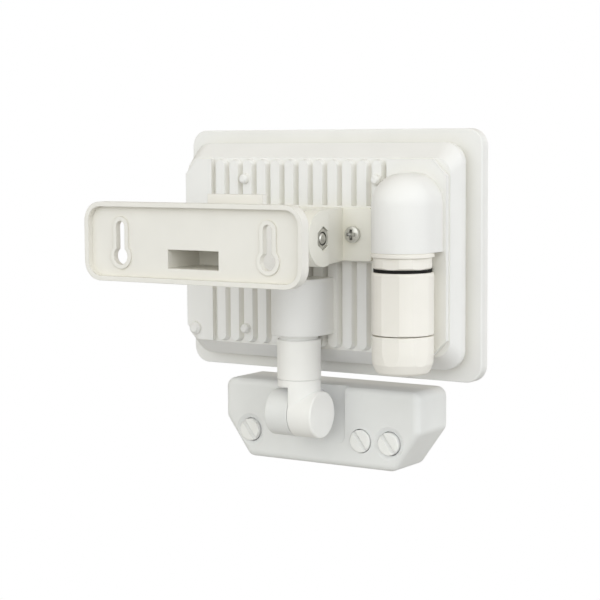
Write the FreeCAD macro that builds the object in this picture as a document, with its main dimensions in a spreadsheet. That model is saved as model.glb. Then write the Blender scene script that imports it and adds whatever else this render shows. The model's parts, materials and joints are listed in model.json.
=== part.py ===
"""Motion sensor floodlight for a wall, with a tilting lamp and a swivelling sensor.

Millimetres. X runs along the wall, Z is up, the wall is the plane Y = 0 and the
lamp shines towards -Y. A depth is the distance from the wall, so Y = -depth.
The origin is midway between the keyholes' round ends, on the wall.
"""
import FreeCAD, Part
import math
import os

import Sketcher
from FreeCAD import Placement, Rotation, Vector

# Driving sizes: name, millimetres (or a count), meaning
DIMENSIONS = [
    ("plate_wide", 120.0, "wall plate, along the wall"),
    ("plate_tall", 36.4, "wall plate, height"),
    ("plate_rise", 6.7, "height of the wall plate's centre"),
    ("plate_corner", 9.0, "radius of the wall plate's corners"),
    ("plate_wall", 2.2, "thickness of the plate's floor and rim"),
    ("tray_deep", 3.1, "height of the rim above the floor"),
    ("keyhole_span", 81.4, "distance between the two keyholes"),
    ("keyhole_round", 4.0, "radius of the keyhole's round end"),
    ("keyhole_slot", 2.4, "half width of the keyhole's slot"),
    ("keyhole_high", 13.7, "height of the slot end's centre"),
    ("collar_wall", 2.0, "wall of the raised collar round a keyhole"),
    ("arm_wall", 1.55, "wall of the arm beside the cored slot"),
    ("slot_low", -4.8, "lower edge of the slot"),
    ("slot_high", 3.7, "upper edge of the slot"),
    ("slot_deep", 27.0, "depth of the cored space behind the slot"),
    ("arm_wide", 31.2, "width of the arm and of its tongue"),
    ("arm_fillet", 3.0, "fillet between the arm and the plate"),
    ("stop_depth", 36.0, "rear face of the wall across the arm"),
    ("stop_wall", 3.0, "thickness of that wall"),
    ("stop_top", 27.8, "height of its upper edge"),
    ("pivot_depth", 74.7, "tilt axis, distance from the wall"),
    ("pivot_rise", 5.9, "tilt axis, height"),
    ("pivot_round", 13.5, "radius of the tongue and of the ears"),
    ("bolt_radius", 2.95, "M6 hinge bolt"),
    ("bolt_play", 0.08, "running clearance of the bolt in its holes"),
    ("bolt_head", 4.0, "height of the bolt's hexagon head"),
    ("nut_flats", 10.0, "across the flats of the head and the nut"),
    ("nut_thick", 5.0, "M6 nut"),
    ("nut_play", 0.15, "clearance round the nut in its pocket"),
    ("nut_bevel", 0.6, "bevel of the nut's corners"),
    ("bolt_short", 0.2, "bolt's end below the boss"),
    ("bolt_tip", 0.8, "bevel of the bolt's end"),
    ("nut_sunk", 0.6, "depth of the nut below the boss"),
    ("ear_gap", 0.3, "gap between an ear and the tongue"),
    ("ear_web", 5.2, "thickness of an ear's web"),
    ("ear_boss", 2.9, "height of the round boss on an ear"),
    ("boss_edge", 4.6, "straight edge of the boss, past the axis"),
    ("yoke_wide", 74.4, "base of the yoke"),
    ("yoke_low", -5.9, "lower edge of the yoke's base"),
    ("yoke_high", 19.7, "upper edge of the yoke's base"),
    ("yoke_thick", 3.5, "thickness of the yoke's base"),
    ("yoke_corner", 1.2, "corner radius of the yoke's base"),
    ("yoke_screws", 54.4, "distance between the yoke's screws"),
    ("screw_radius", 1.95, "M4 screw"),
    ("screw_head", 4.1, "radius of the M4 pan head"),
    ("screw_head_high", 2.6, "height of the M4 pan head"),
    ("screw_play", 0.05, "clearance round a screw in its hole"),
    ("screw_long", 7.0, "length of the M4 screw below its head"),
    ("head_rise", -3.5, "height of the lamp's centre"),
    ("pivot_back", 25.3, "tilt axis to the fins' flat tops"),
    ("fin_high", 4.0, "height of the fins"),
    ("bevel_deep", 7.5, "depth of the housing's bevelled part"),
    ("side_deep", 3.5, "depth of the housing's straight side wall"),
    ("groove_high", 4.0, "width of the shadow groove"),
    ("rim_thick", 3.3, "thickness of the housing's rim"),
    ("frame_thick", 3.3, "thickness of the front frame"),
    ("rim_wide", 170.4, "rim of the housing and front frame"),
    ("rim_tall", 122.4, "rim, height"),
    ("rim_corner", 8.5, "corner radius of the rim"),
    ("rim_edge", 0.6, "small round along the rim's edges"),
    ("rim_over", 6.6, "rim beyond the housing, all round"),
    ("belly_corner", 10.0, "corner radius of the housing"),
    ("bevel_side", 1.8, "inward run of the bevel at the sides"),
    ("bevel_end", 7.3, "inward run of the bevel above and below"),
    ("base_corner", 8.0, "corner radius of that floor"),
    ("groove_deep", 2.2, "depth of the shadow groove behind the rim"),
    ("field_inset", 0.8, "field of fins and pads, in from the floor's sides"),
    ("field_end", 0.6, "field of fins and pads, in from the floor's ends"),
    ("field_corner", 7.5, "corner radius of the pads"),
    ("fin_pitch", 8.4, "spacing of the fins"),
    ("fin_count", 12, "number of fins"),
    ("fin_first", 54.2, "centre of the first fin"),
    ("fin_half", 2.6, "half width of a fin's flat top"),
    ("fin_draft", 9.0, "draft angle of a fin's flanks"),
    ("pad_gap", 2.9, "gap between a pad and the next fin"),
    ("seat_wide", 76.4, "flat seat of the yoke among the fins"),
    ("seat_margin", 0.9, "seat beyond the yoke, above and below"),
    ("post_span", 77.0, "distance between the cast posts"),
    ("post_down", 9.9, "upper posts below the field's upper edge"),
    ("post_up", 7.4, "lower posts above the field's lower edge"),
    ("post_radius", 2.3, "radius of a post at its tip"),
    ("post_proud", 3.0, "posts above the fins"),
    ("post_bevel", 0.8, "bevel of a post's tip"),
    ("post_flare", 0.8, "flare of a post's foot"),
    ("lug_in", 5.4, "small lug in from the pad's side"),
    ("lug_up", 5.9, "small lug above the field's lower edge"),
    ("lug_radius", 3.2, "radius of that lug"),
    ("lug_proud", 2.4, "lug above the pad"),
    ("lug_bevel", 1.3, "bevel of the lug"),
    ("floor_thick", 2.6, "floor between the fins and the LED chamber"),
    ("wall_side", 5.6, "wall of the housing at the sides"),
    ("wall_end", 10.4, "wall of the housing above and below"),
    ("cavity_corner", 6.0, "corner radius inside the housing"),
    ("turret_in", 16.4, "turret's axis in from the field's side"),
    ("turret_proud", 12.4, "turret's axis behind the fins' flat tops"),
    ("turret_radius", 14.8, "round of the cable turret"),
    ("turret_low", -0.2, "lower end of the turret"),
    ("turret_high", 22.1, "height where the dome starts"),
    ("turret_bore", 10.9, "bore for the gland's thread"),
    ("turret_bore_top", 15.7, "upper end of that bore"),
    ("wire_hole", 4.0, "radius of the wire holes into the housing"),
    ("ease", 0.4, "small bevel on turned plastic edges"),
    ("gland_rim", 15.0, "radius of the collar's upper rim"),
    ("gland_rim_high", 2.4, "height of that rim"),
    ("gland_waist", 14.1, "rounded corners of the collar under the rim"),
    ("gland_waist_flats", 27.0, "across the flats of the collar"),
    ("lug_wide", 1.6, "small lug on the collar"),
    ("lug_tall", 2.2, "height of that lug"),
    ("lug_offset", 2.0, "lug from the gland's axis towards the wall"),
    ("collar_high", 7.7, "height of the gland collar"),
    ("gasket_radius", 13.8, "radius of the gland gasket"),
    ("gasket_high", 1.5, "height of the gland gasket"),
    ("gland_radius", 15.0, "rounded corners of the gland body"),
    ("gland_flats", 28.6, "across the flats of the gland body"),
    ("scoop_play", 0.5, "gap between the gland or the neck and the fins"),
    ("gland_turn", 36.0, "turn of the hexagons about the axis"),
    ("body_high", 29.3, "height of the gland body"),
    ("gland_gap", 0.5, "seam between the body and the cap nut"),
    ("cap_high", 18.2, "height of the cap nut"),
    ("cap_taper", 5.0, "height of the cap nut's tapered end"),
    ("cap_end", 11.6, "radius of the cap nut's lower end"),
    ("cap_floor", 3.0, "thickness of the cap nut's lower wall"),
    ("cable_hole", 4.5, "radius of the cable entry"),
    ("gland_wall", 2.2, "wall of the gland's thread"),
    ("cap_step", 0.1, "cap nut's radius below the body's"),
    ("gland_stop", 2.0, "end of the body's thread below the collar's top"),
    ("seal_high", 9.0, "height of the rubber cable seal"),
    ("thread_play", 0.05, "radial clearance of the gland's threads"),
    ("socket_radius", 13.6, "round of the sensor socket"),
    ("socket_low", -42.4, "lower end of the sensor socket"),
    ("socket_high", -14.7, "upper end of the sensor socket"),
    ("neck_proud", 10.4, "neck's axis behind the fins' flat tops"),
    ("neck_radius", 10.8, "radius of the neck tube"),
    ("neck_gap", 2.2, "gap between the socket and the tube"),
    ("knuckle_tall", 17.1, "seam of the tube above the tilt axis"),
    ("spigot_step", 1.4, "step between the tube and its spigot"),
    ("spigot_high", 15.1, "spigot above the socket's lower end"),
    ("spigot_play", 0.08, "running clearance of the spigot"),
    ("snap_out", 0.8, "snap lip beyond the spigot"),
    ("snap_high", 2.4, "height of the snap lip"),
    ("snap_room", 0.3, "clearance round the snap lip"),
    ("snap_space", 2.0, "room above the spigot"),
    ("ring_up", 7.1, "O-ring above the socket's lower end"),
    ("ring_wire", 1.0, "radius of the O-ring's section"),
    ("tube_bore", 5.2, "wire passage in the tube"),
    ("plug_radius", 7.0, "knuckle's plug in the tube"),
    ("plug_high", 9.0, "height of that plug"),
    ("knuckle_down", 11.6, "sensor's tilt axis below its upper face"),
    ("knuckle_radius", 11.6, "radius of the knuckle"),
    ("knuckle_half", 13.5, "half length of the knuckle"),
    ("knuckle_gap", 0.15, "half the gap between the two halves"),
    ("knuckle_edge", 1.0, "round on the knuckle's ends"),
    ("collar_drop", 3.2, "full collar below the seam"),
    ("stem_radius", 10.6, "radius of the knuckle's stem"),
    ("pin_radius", 2.0, "M4 knuckle screw"),
    ("pin_head", 3.8, "radius of its head"),
    ("pin_head_high", 2.6, "height of its head"),
    ("pin_slot", 1.0, "slot in its head"),
    ("pin_end", 9.0, "end of the knuckle screw past the middle"),
    ("sensor_wide", 114.8, "sensor housing along the wall"),
    ("sensor_gap", 5.3, "gap between the rim and the sensor"),
    ("sensor_tall", 40.3, "height of the sensor"),
    ("sensor_cut_tall", 20.0, "height of the cut corners"),
    ("sensor_cut_side", 14.4, "inward run of the cut corners"),
    ("sensor_back", 17.4, "neck's axis to the sensor's rear face"),
    ("rear_shell_deep", 26.0, "depth of the sensor's rear shell"),
    ("front_shell_deep", 4.4, "depth of the sensor's front shell"),
    ("sensor_round", 5.0, "round along the sensor's side edges"),
    ("sensor_edge", 3.6, "round along the sensor's rear edge"),
    ("front_edge", 2.4, "round along the sensor's front edge"),
    ("shell_wall", 2.2, "wall of the sensor's shells"),
    ("scoop_wide", 31.0, "recess round the knuckle"),
    ("scoop_deep", 5.0, "depth of that recess"),
    ("scoop_down", 16.7, "recess below the tilt axis"),
    ("scoop_corner", 4.0, "corner radius of that recess"),
    ("link_half", 9.0, "half height of the sensor's knuckle arm"),
    ("knob_up", 14.1, "knobs above the sensor's lower face"),
    ("knob_first_in", 15.9, "single knob in from the sensor's side"),
    ("knob_pitch", 16.1, "distance between the pair's knobs"),
    ("knob_third_in", 16.6, "outer knob of the pair in from the sensor's side"),
    ("knob_radius", 5.7, "radius of a knob"),
    ("knob_play", 0.35, "clearance round a knob"),
    ("knob_proud", 1.3, "knob beyond the rear face"),
    ("knob_thick", 4.6, "thickness of a knob"),
    ("grip_wide", 3.4, "width of the trough across a knob"),
    ("grip_deep", 2.0, "depth of the trough across a knob"),
    ("grip_turn", 52.0, "turn of the troughs"),
    ("grip_slope", 28.0, "slope of the trough's sides"),
    ("dish_radius", 8.4, "dished ring round a knob"),
    ("dish_deep", 1.1, "depth of the dished ring"),
    ("stem_small", 1.5, "radius of a knob's shaft"),
    ("shaft_long", 8.4, "length of a knob's shaft"),
    ("shaft_play", 0.06, "running clearance of a knob's shaft"),
    ("trimmer_size", 7.0, "side of a trimmer"),
    ("trimmer_high", 5.0, "height of a trimmer"),
    ("board_in", 14.6, "sensor's board in from the rear face"),
    ("board_thick", 1.6, "thickness of the circuit boards"),
    ("board_side", 11.4, "sensor's board in from the sensor's sides"),
    ("board_gap", 3.5, "sensor's board below the upper face"),
    ("board_up", 9.3, "sensor's board above the lower face"),
    ("board_corner", 1.0, "corner radius of the circuit boards"),
    ("board_post", 2.0, "radius of the posts under the sensor board"),
    ("board_post_in", 3.0, "upper posts in from the board's sides"),
    ("board_post_down", 3.3, "upper posts below the board's upper edge"),
    ("board_post_low_in", 10.2, "lower posts in from the lower face's ends"),
    ("board_post_up", 2.0, "lower posts above the board's lower edge"),
    ("lens_down", 20.2, "lens below the sensor's upper face"),
    ("lens_rim", 1.3, "flange beyond the dome"),
    ("lens_in", 5.9, "dome's centre in from the front face"),
    ("lens_wall", 1.0, "wall of the lens"),
    ("lens_gap", 0.65, "gap between the flange and the shell"),
    ("lens_play", 0.2, "clearance of the lens in its opening"),
    ("pir_radius", 4.6, "radius of the infrared element"),
    ("pir_rim", 0.5, "rim round the element's foot"),
    ("pir_high", 4.2, "height of the infrared element"),
    ("glass_inset", 7.7, "glass in from the rim's edges"),
    ("glass_corner", 5.0, "corner radius of the glass"),
    ("glass_thick", 3.0, "thickness of the glass"),
    ("glass_play", 0.3, "clearance round the glass"),
    ("gasket_wide", 3.0, "width of the glass gasket"),
    ("gasket_thick", 1.0, "thickness of the glass gasket"),
    ("lip_wide", 3.3, "frame over the edge of the glass"),
    ("lip_thick", 1.3, "thickness of that lip"),
    ("window_edge", 0.5, "small bevel round the window"),
    ("reflector_side", 2.0, "reflector in from the chamber's sides"),
    ("reflector_end", 1.7, "reflector in from the chamber's ends"),
    ("reflector_slope", 8.0, "inward slope of the reflector's sides"),
    ("reflector_wall", 1.2, "wall of the reflector"),
    ("tray_corner", 4.0, "corner radius of the reflector"),
    ("led_side", 3.0, "LED board in from the chamber's sides"),
    ("led_end", 2.2, "LED board in from the chamber's ends"),
    ("chip_size", 2.8, "side of an LED"),
    ("chip_high", 0.8, "height of an LED"),
    ("chip_pitch", 13.0, "spacing of the LEDs"),
    ("chip_columns", 9, "LEDs in a row"),
    ("chip_rows", 5, "rows of LEDs"),
    ("small_screw", 1.45, "M3 screw"),
    ("small_head", 2.7, "radius of the M3 head"),
    ("small_head_high", 1.4, "height of the M3 head"),
    ("small_play", 0.2, "clearance round an M3 screw"),
    ("hole_end", 0.3, "depth of a screw hole past its screw"),
    ("frame_screw_inset", 5.6, "frame screws from the rim's edges"),
    ("frame_screw_long", 4.2, "length of a frame screw"),
    ("led_screw_inset", 3.5, "LED board screws from the board's edges"),
    ("led_screw_long", 3.4, "length of an LED board screw"),
    ("terminal_wide", 11.0, "terminal block in the turret"),
    ("terminal_deep", 9.0, "terminal block, depth"),
    ("terminal_high", 6.5, "terminal block, height"),
    ("terminal_hole", 1.3, "radius of its wire holes"),
]

# Sizes that follow from the driving ones: name, formula, meaning
FOLLOWING = [
    ("slot_wide", "arm_wide - arm_wall * 2", "rectangular slot in the plate"),
    ("fin_face", "pivot_depth + pivot_back", "depth of the fins' flat tops"),
    ("base_face", "fin_face + fin_high", "depth of the floor between the fins"),
    ("belly_face", "base_face + bevel_deep", "depth where the bevel meets the side wall"),
    ("groove_face", "belly_face + side_deep", "depth where the shadow groove starts"),
    ("rim_face", "groove_face + groove_high", "depth of the rim's rear face"),
    ("seam_face", "rim_face + rim_thick", "depth of the joint between housing and frame"),
    ("front_face", "seam_face + frame_thick", "depth of the lamp's front"),
    ("belly_wide", "rim_wide - rim_over * 2", "housing behind the rim"),
    ("belly_tall", "rim_tall - rim_over * 2", "housing behind the rim, height"),
    ("base_wide", "belly_wide - bevel_side * 2", "floor under the fins"),
    ("base_tall", "belly_tall - bevel_end * 2", "floor under the fins, height"),
    ("field_wide", "base_wide - field_inset * 2", "field of fins and pads"),
    ("field_tall", "base_tall - field_end * 2", "field of fins and pads, height"),
    ("post_high", "head_rise + field_tall / 2 - post_down", "height of the upper posts"),
    ("post_low", "head_rise - field_tall / 2 + post_up", "height of the lower posts"),
    ("lug_side", "field_wide / 2 - lug_in", "small lug at the pad's lower corner"),
    ("lug_low", "head_rise - field_tall / 2 + lug_up", "height of that lug"),
    ("cavity_face", "base_face + floor_thick", "depth of the housing's inner floor"),
    ("cavity_wide", "belly_wide - wall_side * 2", "inside of the housing"),
    ("cavity_tall", "belly_tall - wall_end * 2", "inside of the housing, height"),
    ("turret_side", "turret_in - field_wide / 2", "axis of the cable turret along the wall"),
    ("turret_depth", "fin_face - turret_proud", "axis of the cable turret from the wall"),
    ("neck_depth", "fin_face - neck_proud", "axis of the sensor's neck from the wall"),
    ("spigot_radius", "neck_radius - spigot_step", "spigot of the tube in the socket"),
    ("neck_top", "socket_low - neck_gap", "upper end of the neck tube"),
    ("spigot_top", "socket_low + spigot_high", "upper end of the spigot"),
    ("ring_rise", "socket_low + ring_up", "height of the O-ring"),
    ("sensor_top", "head_rise - rim_tall / 2 - sensor_gap", "upper face of the sensor"),
    ("knuckle_rise", "sensor_top - knuckle_down", "height of the sensor's tilt axis"),
    ("neck_seam", "knuckle_rise + knuckle_tall", "seam between tube and knuckle"),
    ("sensor_low", "sensor_top - sensor_tall", "lower face of the sensor"),
    ("sensor_cut_high", "sensor_low + sensor_cut_tall", "height where the cut corner starts"),
    ("sensor_cut_wide", "sensor_wide - sensor_cut_side * 2", "width of the lower face"),
    ("sensor_rear", "neck_depth + sensor_back", "rear face of the sensor"),
    ("sensor_seam", "sensor_rear + rear_shell_deep", "seam of the sensor's two shells"),
    ("sensor_front", "sensor_seam + front_shell_deep", "front face of the sensor"),
    ("scoop_low", "knuckle_rise - scoop_down", "lower end of that recess"),
    ("knob_rise", "sensor_low + knob_up", "height of the knobs"),
    ("knob_first", "sensor_wide / 2 - knob_first_in", "single knob along the wall"),
    ("knob_third", "knob_third_in - sensor_wide / 2", "outer knob of the pair"),
    ("knob_second", "knob_third + knob_pitch", "inner knob of the pair"),
    ("board_face", "sensor_rear + board_in", "rear face of the sensor's board"),
    ("board_wide", "sensor_wide - board_side * 2", "sensor board"),
    ("board_high", "sensor_top - board_gap", "upper edge of the sensor board"),
    ("board_low", "sensor_low + board_up", "lower edge of the sensor board"),
    ("board_post_high_side", "board_wide / 2 - board_post_in", "upper posts from the middle"),
    ("board_post_high", "board_high - board_post_down", "height of the upper posts"),
    ("board_post_low_side", "sensor_cut_wide / 2 - board_post_low_in", "lower posts from the middle"),
    ("board_post_low", "board_low + board_post_up", "height of the lower posts"),
    ("lens_rise", "sensor_top - lens_down", "height of the lens"),
    ("lens_flange", "sensor_tall / 2 - shell_wall - lens_gap", "radius of the lens flange"),
    ("lens_radius", "lens_flange - lens_rim", "outer radius of the lens dome"),
    ("lens_centre", "sensor_front - lens_in", "depth of the dome's centre"),
    ("glass_wide", "rim_wide - glass_inset * 2", "front glass"),
    ("glass_tall", "rim_tall - glass_inset * 2", "front glass, height"),
    ("reflector_wide", "cavity_wide - reflector_side * 2", "reflector tray at the front"),
    ("reflector_tall", "cavity_tall - reflector_end * 2", "reflector tray at the front, height"),
    ("led_wide", "cavity_wide - led_side * 2", "LED board"),
    ("led_tall", "cavity_tall - led_end * 2", "LED board, height"),
]

# Across corners over across flats of a hexagon
HEXAGON = 1.0 / math.cos(math.radians(30.0))

# Millimetres that a cut or a joined piece runs past a face
PAST = 1.0

# Millimetres within which two numbers count as the same
CLOSE = 1e-3


class Size:
    """A length that knows its number and its formula over the sheet's cells."""

    def __init__(self, text, value):
        self.text = text
        self.value = value

    def joined(self, other, sign, value, turned=False):
        text = other.text if isinstance(other, Size) else repr(float(other))
        if turned:
            return Size(f"({text} {sign} {self.text})", value)
        return Size(f"({self.text} {sign} {text})", value)

    def __add__(self, other):
        return self.joined(other, "+", self.value + number(other))

    def __radd__(self, other):
        return self.joined(other, "+", number(other) + self.value, turned=True)

    def __sub__(self, other):
        return self.joined(other, "-", self.value - number(other))

    def __rsub__(self, other):
        return self.joined(other, "-", number(other) - self.value, turned=True)

    def __mul__(self, other):
        return self.joined(other, "*", self.value * number(other))

    def __rmul__(self, other):
        return self.joined(other, "*", number(other) * self.value, turned=True)

    def __truediv__(self, other):
        return self.joined(other, "/", self.value / number(other))

    def power(self, exponent):
        return Size(f"({self.text} ^ {exponent})", self.value ** exponent)

    def __neg__(self):
        return Size(f"(0 - {self.text})", -self.value)


def number(size):
    return size.value if isinstance(size, Size) else float(size)


def as_size(size):
    return size if isinstance(size, Size) else Size(repr(float(size)), float(size))


ZERO = Size("0.0", 0.0)


def sine_cosine(turn):
    """Sine and cosine of an angle in degrees."""
    radians = math.radians(number(turn))
    text = as_size(turn).text
    return Size(f"sin({text} * 1deg)", math.sin(radians)), Size(f"cos({text} * 1deg)", math.cos(radians))


class Sizes:
    """Every named size of the sheet, as an attribute."""

    def __init__(self, doc):
        self.sheet = doc.addObject("Spreadsheet::Sheet", "Sizes")
        for row, (name, value, meaning) in enumerate(DIMENSIONS, start=1):
            self.enter(row, name, str(value), meaning)
        first = len(DIMENSIONS) + 1
        for row, (name, formula, meaning) in enumerate(FOLLOWING, start=first):
            self.enter(row, name, f"={formula}", meaning)
        doc.recompute()
        for name, _, _ in DIMENSIONS + FOLLOWING:
            setattr(self, name, Size(f"Sizes.{name}", float(self.sheet.get(name))))

    def enter(self, row, name, content, meaning):
        self.sheet.set(f"A{row}", meaning)
        self.sheet.set(f"B{row}", content)
        self.sheet.setAlias(f"B{row}", name)


doc = FreeCAD.newDocument("Floodlight")
d = Sizes(doc)
nodes = {}


# Sketches

def bind(thing, path, size):
    thing.setExpression(path, as_size(size).text)


def origin_feature(body, role):
    for feature in body.Origin.OriginFeatures:
        if feature.Role == role:
            return feature
    raise ValueError(role)


def sketch_on(body, role, shift):
    """A sketch on one of the body's own planes, moved by three sizes in that plane's axes."""
    sketch = body.newObject("Sketcher::SketchObject", "Sketch")
    sketch.AttachmentSupport = [(origin_feature(body, role), "")]
    sketch.MapMode = "FlatFace"
    for axis, size in zip("xyz", shift):
        bind(sketch, f"AttachmentOffset.Base.{axis}", size)
    return sketch


def pin(sketch, shape, point, across, along):
    """Ties one point of a sketched shape to its two distances from the sketch's origin."""
    for kind, size in (("DistanceX", across), ("DistanceY", along)):
        index = sketch.addConstraint(Sketcher.Constraint(kind, -1, 1, shape, point, number(size)))
        bind(sketch, f"Constraints[{index}]", size)


def set_radius(sketch, shape, radius):
    index = sketch.addConstraint(Sketcher.Constraint("Radius", shape, number(radius)))
    bind(sketch, f"Constraints[{index}]", radius)


def polygon(sketch, corners):
    places = [Vector(number(across), number(along), 0) for across, along in corners]
    count = len(corners)
    for index in range(count):
        line = Part.LineSegment(places[index], places[(index + 1) % count])
        sketch.addGeometry(line, False)
    for index in range(count):
        following = (index + 1) % count
        sketch.addConstraint(Sketcher.Constraint("Coincident", index, 2, following, 1))
        pin(sketch, index, 1, *corners[index])


def circle(sketch, centre, radius):
    middle = Vector(number(centre[0]), number(centre[1]), 0)
    shape = sketch.addGeometry(Part.Circle(middle, Vector(0, 0, 1), number(radius)), False)
    pin(sketch, shape, 3, *centre)
    set_radius(sketch, shape, radius)


def rounded_rectangle(sketch, left, right, low, high, radius):
    """Four straight sides joined by four tangent arcs."""
    x0, x1, y0, y1, r = (number(size) for size in (left, right, low, high, radius))
    sides = [((x0 + r, y0), (x1 - r, y0)), ((x1, y0 + r), (x1, y1 - r)),
             ((x1 - r, y1), (x0 + r, y1)), ((x0, y1 - r), (x0, y0 + r))]
    centres = [(right - radius, low + radius), (right - radius, high - radius),
               (left + radius, high - radius), (left + radius, low + radius)]
    for start, end in sides:
        sketch.addGeometry(Part.LineSegment(Vector(*start, 0), Vector(*end, 0)), False)
    for index, centre in enumerate(centres):
        middle = Vector(number(centre[0]), number(centre[1]), 0)
        whole = Part.Circle(middle, Vector(0, 0, 1), r)
        start = math.radians(90 * (index - 1))
        sketch.addGeometry(Part.ArcOfCircle(whole, start, start + math.pi / 2), False)
    for index in range(4):
        arc = 4 + index
        sketch.addConstraint(Sketcher.Constraint("Tangent", index, 2, arc, 1))
        sketch.addConstraint(Sketcher.Constraint("Tangent", arc, 2, (index + 1) % 4, 1))
    pin(sketch, 4, 3, *centres[0])
    pin(sketch, 6, 3, *centres[2])
    sketch.addConstraint(Sketcher.Constraint("Horizontal", 0))
    sketch.addConstraint(Sketcher.Constraint("Vertical", 1))
    sketch.addConstraint(Sketcher.Constraint("Horizontal", 2))
    sketch.addConstraint(Sketcher.Constraint("Vertical", 3))
    set_radius(sketch, 4, radius)
    for arc in (5, 6, 7):
        sketch.addConstraint(Sketcher.Constraint("Equal", 4, arc))


def stadium(sketch, across, low, high, half):
    """An upright slot outline: two straight sides and two half circles."""
    x, y0, y1, r = (number(size) for size in (across, low, high, half))
    sketch.addGeometry(Part.LineSegment(Vector(x + r, y0, 0), Vector(x + r, y1, 0)), False)
    sketch.addGeometry(Part.LineSegment(Vector(x - r, y1, 0), Vector(x - r, y0, 0)), False)
    for height, start in ((y1, 0.0), (y0, math.pi)):
        whole = Part.Circle(Vector(x, height, 0), Vector(0, 0, 1), r)
        sketch.addGeometry(Part.ArcOfCircle(whole, start, start + math.pi), False)
    sketch.addConstraint(Sketcher.Constraint("Tangent", 0, 2, 2, 1))
    sketch.addConstraint(Sketcher.Constraint("Tangent", 2, 2, 1, 1))
    sketch.addConstraint(Sketcher.Constraint("Tangent", 1, 2, 3, 1))
    sketch.addConstraint(Sketcher.Constraint("Tangent", 3, 2, 0, 1))
    pin(sketch, 2, 3, across, high)
    pin(sketch, 3, 3, across, low)
    set_radius(sketch, 2, half)


# Features of a body

def new_body(label):
    body = doc.addObject("PartDesign::Body", label)
    body.Label = label
    nodes[label] = body
    return body


def grow(body, sketch, length, cut=False, draft=None):
    """Pads the sketch along its normal, or cuts that way."""
    feature = body.newObject("PartDesign::Pocket" if cut else "PartDesign::Pad", "Grown")
    feature.Profile = sketch
    feature.Reversed = cut
    bind(feature, "Length", length)
    if draft is not None:
        bind(feature, "TaperAngle", draft)
    body.Tip = feature
    return feature


def block(body, wide, tall, deep, radius=None, cut=False):
    """A box between two sides, two heights and two depths, with round upright edges if asked."""
    sketch = sketch_on(body, "XZ_Plane", (0, 0, deep[0]))
    if radius is None:
        corners = [(wide[0], tall[0]), (wide[1], tall[0]), (wide[1], tall[1]), (wide[0], tall[1])]
        polygon(sketch, corners)
    else:
        rounded_rectangle(sketch, wide[0], wide[1], tall[0], tall[1], radius)
    return grow(body, sketch, as_size(deep[1]) - deep[0], cut)


def about(middle, whole):
    """Both limits of a span of a whole width about its middle."""
    return (middle - whole / 2, middle + whole / 2)


def rod(body, axis, centre, radius, span, cut=False):
    """A round bar along X, Y or Z. Its centre is given in the order side, depth, height."""
    if axis == "X":
        sketch = sketch_on(body, "YZ_Plane", (0, 0, span[0]))
        circle(sketch, (-as_size(centre[0]), centre[1]), radius)
    elif axis == "Y":
        sketch = sketch_on(body, "XZ_Plane", (0, 0, span[0]))
        circle(sketch, centre, radius)
    else:
        sketch = sketch_on(body, "XY_Plane", (0, 0, span[0]))
        circle(sketch, (centre[0], -as_size(centre[1])), radius)
    return grow(body, sketch, as_size(span[1]) - span[0], cut)


def turn(body, axis, centre, outline, cut=False):
    """Revolves an outline. Along Z its points are (radius, height) about (side, depth);
    along X they are (side, radius) about (depth, height); along Y they are
    (depth, radius) about (side, height)."""
    if axis == "Z":
        sketch = sketch_on(body, "XZ_Plane", (centre[0], 0, centre[1]))
        line = "V_Axis"
    elif axis == "X":
        sketch = sketch_on(body, "XZ_Plane", (0, centre[1], centre[0]))
        line = "H_Axis"
    else:
        sketch = sketch_on(body, "YZ_Plane", (0, centre[1], centre[0]))
        outline = [(-as_size(depth), radius) for depth, radius in outline]
        line = "H_Axis"
    polygon(sketch, outline)
    feature = body.newObject("PartDesign::Groove" if cut else "PartDesign::Revolution", "Turned")
    feature.Profile = sketch
    feature.ReferenceAxis = (sketch, [line])
    feature.Angle = 360
    body.Tip = feature
    return feature


def edges_where(shape, chosen):
    return [f"Edge{index}" for index, edge in enumerate(shape.Edges, start=1) if chosen(edge)]


def dress(body, kind, path, size, chosen):
    """Fillets or chamfers the edges of the body that the test picks."""
    doc.recompute()
    base = body.Tip
    names = edges_where(base.Shape, chosen)
    if not names:
        raise ValueError(f"{body.Label}: no edge to dress")
    feature = body.newObject(kind, "Dressed")
    feature.Base = (base, names)
    bind(feature, path, size)
    body.Tip = feature
    return feature


def fillet(body, radius, chosen):
    return dress(body, "PartDesign::Fillet", "Radius", radius, chosen)


def chamfer(body, size, chosen):
    return dress(body, "PartDesign::Chamfer", "Size", size, chosen)


def mirror(body, originals):
    feature = body.newObject("PartDesign::Mirrored", "Mirrored")
    feature.Originals = originals
    feature.MirrorPlane = (origin_feature(body, "YZ_Plane"), [""])
    body.Tip = feature
    return feature


def along(edge, axis):
    """True for a straight edge that runs along one axis."""
    if not isinstance(edge.Curve, Part.Line):
        return False
    direction = edge.tangentAt(edge.FirstParameter)
    return abs(abs(getattr(direction, axis)) - 1.0) < CLOSE


def flat_at(edge, axis, value):
    """True for an edge that lies at one value of an axis."""
    box = edge.BoundBox
    low = getattr(box, f"{axis.upper()}Min")
    high = getattr(box, f"{axis.upper()}Max")
    return abs(low - value) < CLOSE and abs(high - value) < CLOSE


def hexagon(centre, flats):
    """Six corners of an upright hexagon, one corner up."""
    point = flats * (HEXAGON / 2)
    half = flats / 2
    steps = [(0, point), (-half, point / 2), (-half, -point / 2),
             (0, -point), (half, -point / 2), (half, point / 2)]
    return [(centre[0] + across, centre[1] + up) for across, up in steps]


# Primitives outside a body

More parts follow.
